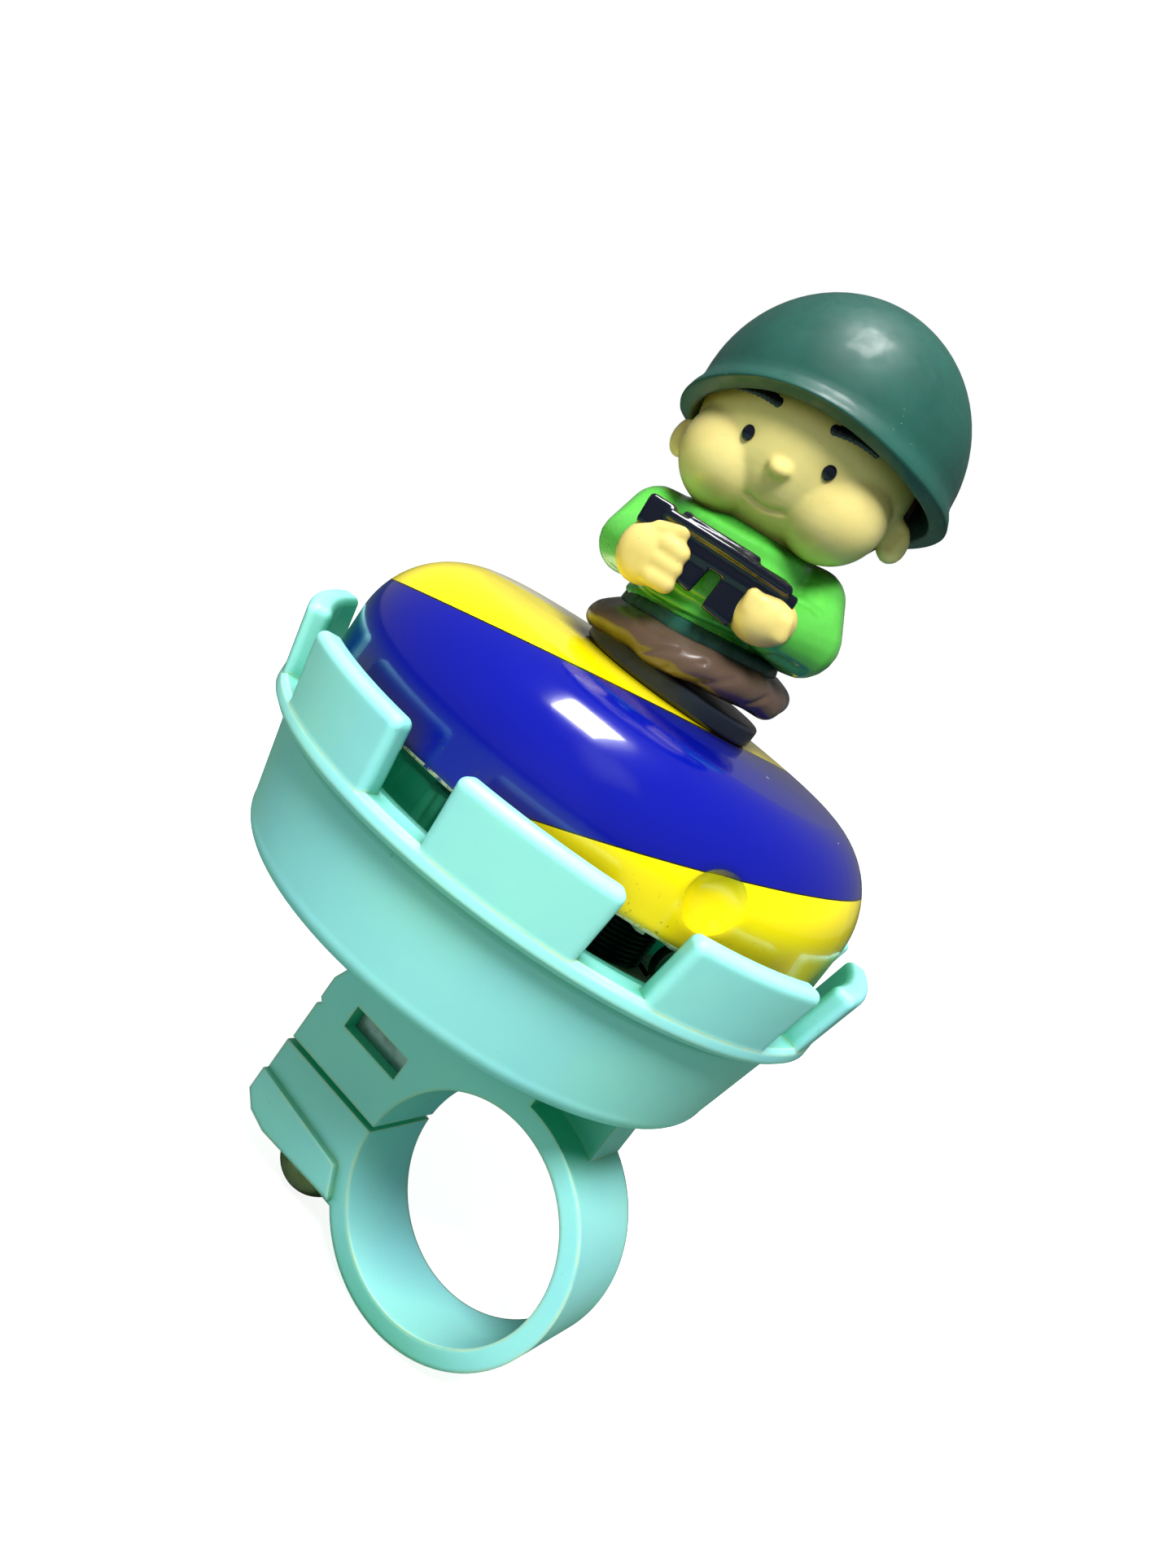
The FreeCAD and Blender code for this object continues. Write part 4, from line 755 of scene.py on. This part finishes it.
# each block: centre, size, turn about Y in degrees, bevel
gun = {
    "grid": 0.13,
    "receiver": ((-1.4, -9.3, 10.5), (11.6, 1.8, 2.5), 4, 0.25),
    "stock": ((-7.6, -9.2, 11.2), (2.6, 1.8, 2.8), 4, 0.4),
    "muzzle": ((4.9, -9.5, 10.0), (1.8, 1.2, 1.2), 4, 0.25),
    "topRail": ((-1.8, -9.6, 11.9), (6.8, 1.2, 0.7), 4, 0.2),
    "rearSight": ((-5.3, -9.4, 12.2), (0.8, 0.9, 0.8), 0, 0.15),
    "grip": ((-3.0, -9.3, 8.6), (2.1, 1.5, 3.2), 14, 0.25),
    "magazine": ((0.7, -9.3, 8.0), (2.8, 1.6, 4.0), 10, 0.25),
    "barrel": [(-6.6, -10.0, 11.7, 0.5), (-1.0, -10.2, 11.3, 0.55), (4.6, -10.2, 10.7, 0.5)],
}


def makeGun():
    parts = []
    for block in ("receiver", "stock", "muzzle", "topRail", "rearSight", "grip", "magazine"):
        centre, size, turn, bevel = gun[block]
        parts.append(addBlock(centre, size, turn=(0, turn, 0), bevel=bevel))
    parts += addLimb(gun["barrel"])
    piece = melt("toyGun", parts, gun["grid"], 9)
    standOnFigure(piece, "toy_gun", slot="gun_black")


# outlines are radius and height; waves and gathers are counts round the body
trousers = {
    "flare": ((8.2, 0.05), (9.3, 0.15), (9.95, 0.8), (9.95, 1.7), (9.4, 2.5), (8.7, 3.0), (8.1, 3.4),
              (7.7, 3.7)),
    "waist": ((7.75, 2.9), (7.9, 3.4), (7.65, 4.4), (7.5, 5.0)),
    "creases": (-112, -96, -78, -50, 20, 75, 130, 185),      # degrees
    "gathers": 22,
}


def makeTrousers():
    piece = turned("figureTrousers", trousers["flare"], 128)
    applyModifier(piece, "SUBSURF", levels=2, render_levels=2)
    places = corners(piece)
    turn = np.arctan2(places[:, 1], places[:, 0])
    reach = np.hypot(places[:, 0], places[:, 1])
    share = np.clip((reach - 7.2) / 2.6, 0, 1)      # nought at the waist, 1 at the hem
    wave = 0.22 * np.sin(5 * turn + 1.0) + 0.14 * np.sin(9 * turn + 2.2) + 0.08 * np.sin(17 * turn)
    places[:, 2] += share * wave * 1.1 + share * 0.2
    grow = 1 + share * (0.012 * np.sin(4 * turn + 0.5) + 0.01 * np.sin(11 * turn))
    places[:, 0] *= grow
    places[:, 1] *= grow
    setCorners(piece, places)
    for start in trousers["creases"]:
        crease = []
        for i in range(4):
            a = math.radians(start + i * 5)
            crease.append((9.7 * math.cos(a), 9.7 * math.sin(a), 0.7 + 0.55 * i))
        pressLine(piece, crease, 0.3, 0.25)
    standOnFigure(piece, "figure_trousers", slot="trouser_brown")


def makeWaist():
    waist = turned("figureWaist", trousers["waist"], 96)
    applyModifier(waist, "SUBSURF", levels=1, render_levels=1)
    for i in range(trousers["gathers"]):
        a = math.radians(i * 360 / trousers["gathers"] + 4 * math.sin(i * 2.1))
        x, y = 7.8 * math.cos(a), 7.8 * math.sin(a)
        pressLine(waist, [(x, y, 2.8), (x * 0.98, y * 0.98, 4.6)], 0.35, 0.15)
    standOnFigure(waist, slot="helmet_green")


# floor's side in metres, its drop below the clamp in mm
stage = {"size": 4, "drop": 0.4, "floor": "#F7F7F5", "bounce": "#5F7F6E", "glow": 0.85, "world": 0.17}


def addStage():
    # a pale floor and a white backdrop: both look brighter to the camera than the light they give back
    deselectAll()
    bpy.ops.mesh.primitive_plane_add(size=stage["size"],
                                     location=(bellFoot.x, bellFoot.y, cadBox[0].z - stage["drop"] * mm))
    floor = bpy.context.object
    floor.name = "floor"
    material, tree, shader = newMaterial("paleFloor", stage["floor"], 0.7, {
        "Emission Color": linear("#FFFFFF")})[:3]
    seen = addNode(tree, "ShaderNodeLightPath", {}, "Is Camera Ray")
    colour = addNode(tree, mix, {"Fac": seen, "Color1": stage["bounce"], "Color2": stage["floor"]})
    glow = addNode(tree, calc, {0: seen, 1: stage["glow"]}, operation="MULTIPLY")
    tree.links.new(colour, shader.inputs["Base Color"])
    tree.links.new(glow, shader.inputs["Emission Strength"])
    floor.data.materials.append(material)
    world = bpy.data.worlds.new("studio")
    bpy.context.scene.world = world
    world.use_nodes = True
    tree = world.node_tree
    lamp = tree.nodes["Background"]
    seen = addNode(tree, "ShaderNodeLightPath", {}, "Is Camera Ray")
    strength = addNode(tree, remap, {"Value": seen, "To Min": stage["world"], "To Max": 1.0})
    lamp.inputs["Color"].default_value = linear("#FFFFFF")
    tree.links.new(strength, lamp.inputs["Strength"])
    bpy.context.scene.view_settings.view_transform = "Standard"


finishes = makeMaterials()
for entry in frame["record"]["subparts"]:
    node = bpy.data.objects[entry["node"]]
    for materialSlot in node.material_slots:
        materialSlot.material = finishes[entry["material_slot"]]
print("finishes set on the bell")

addCamera()
addLights()
addStage()
print("camera, lights and floor")

makeTrousers()
makeWaist()
makeShirt()
makeHands()
makeGun()
makeHead()
makeFace()
makeHair()
makeHelmet()
print("soldier")
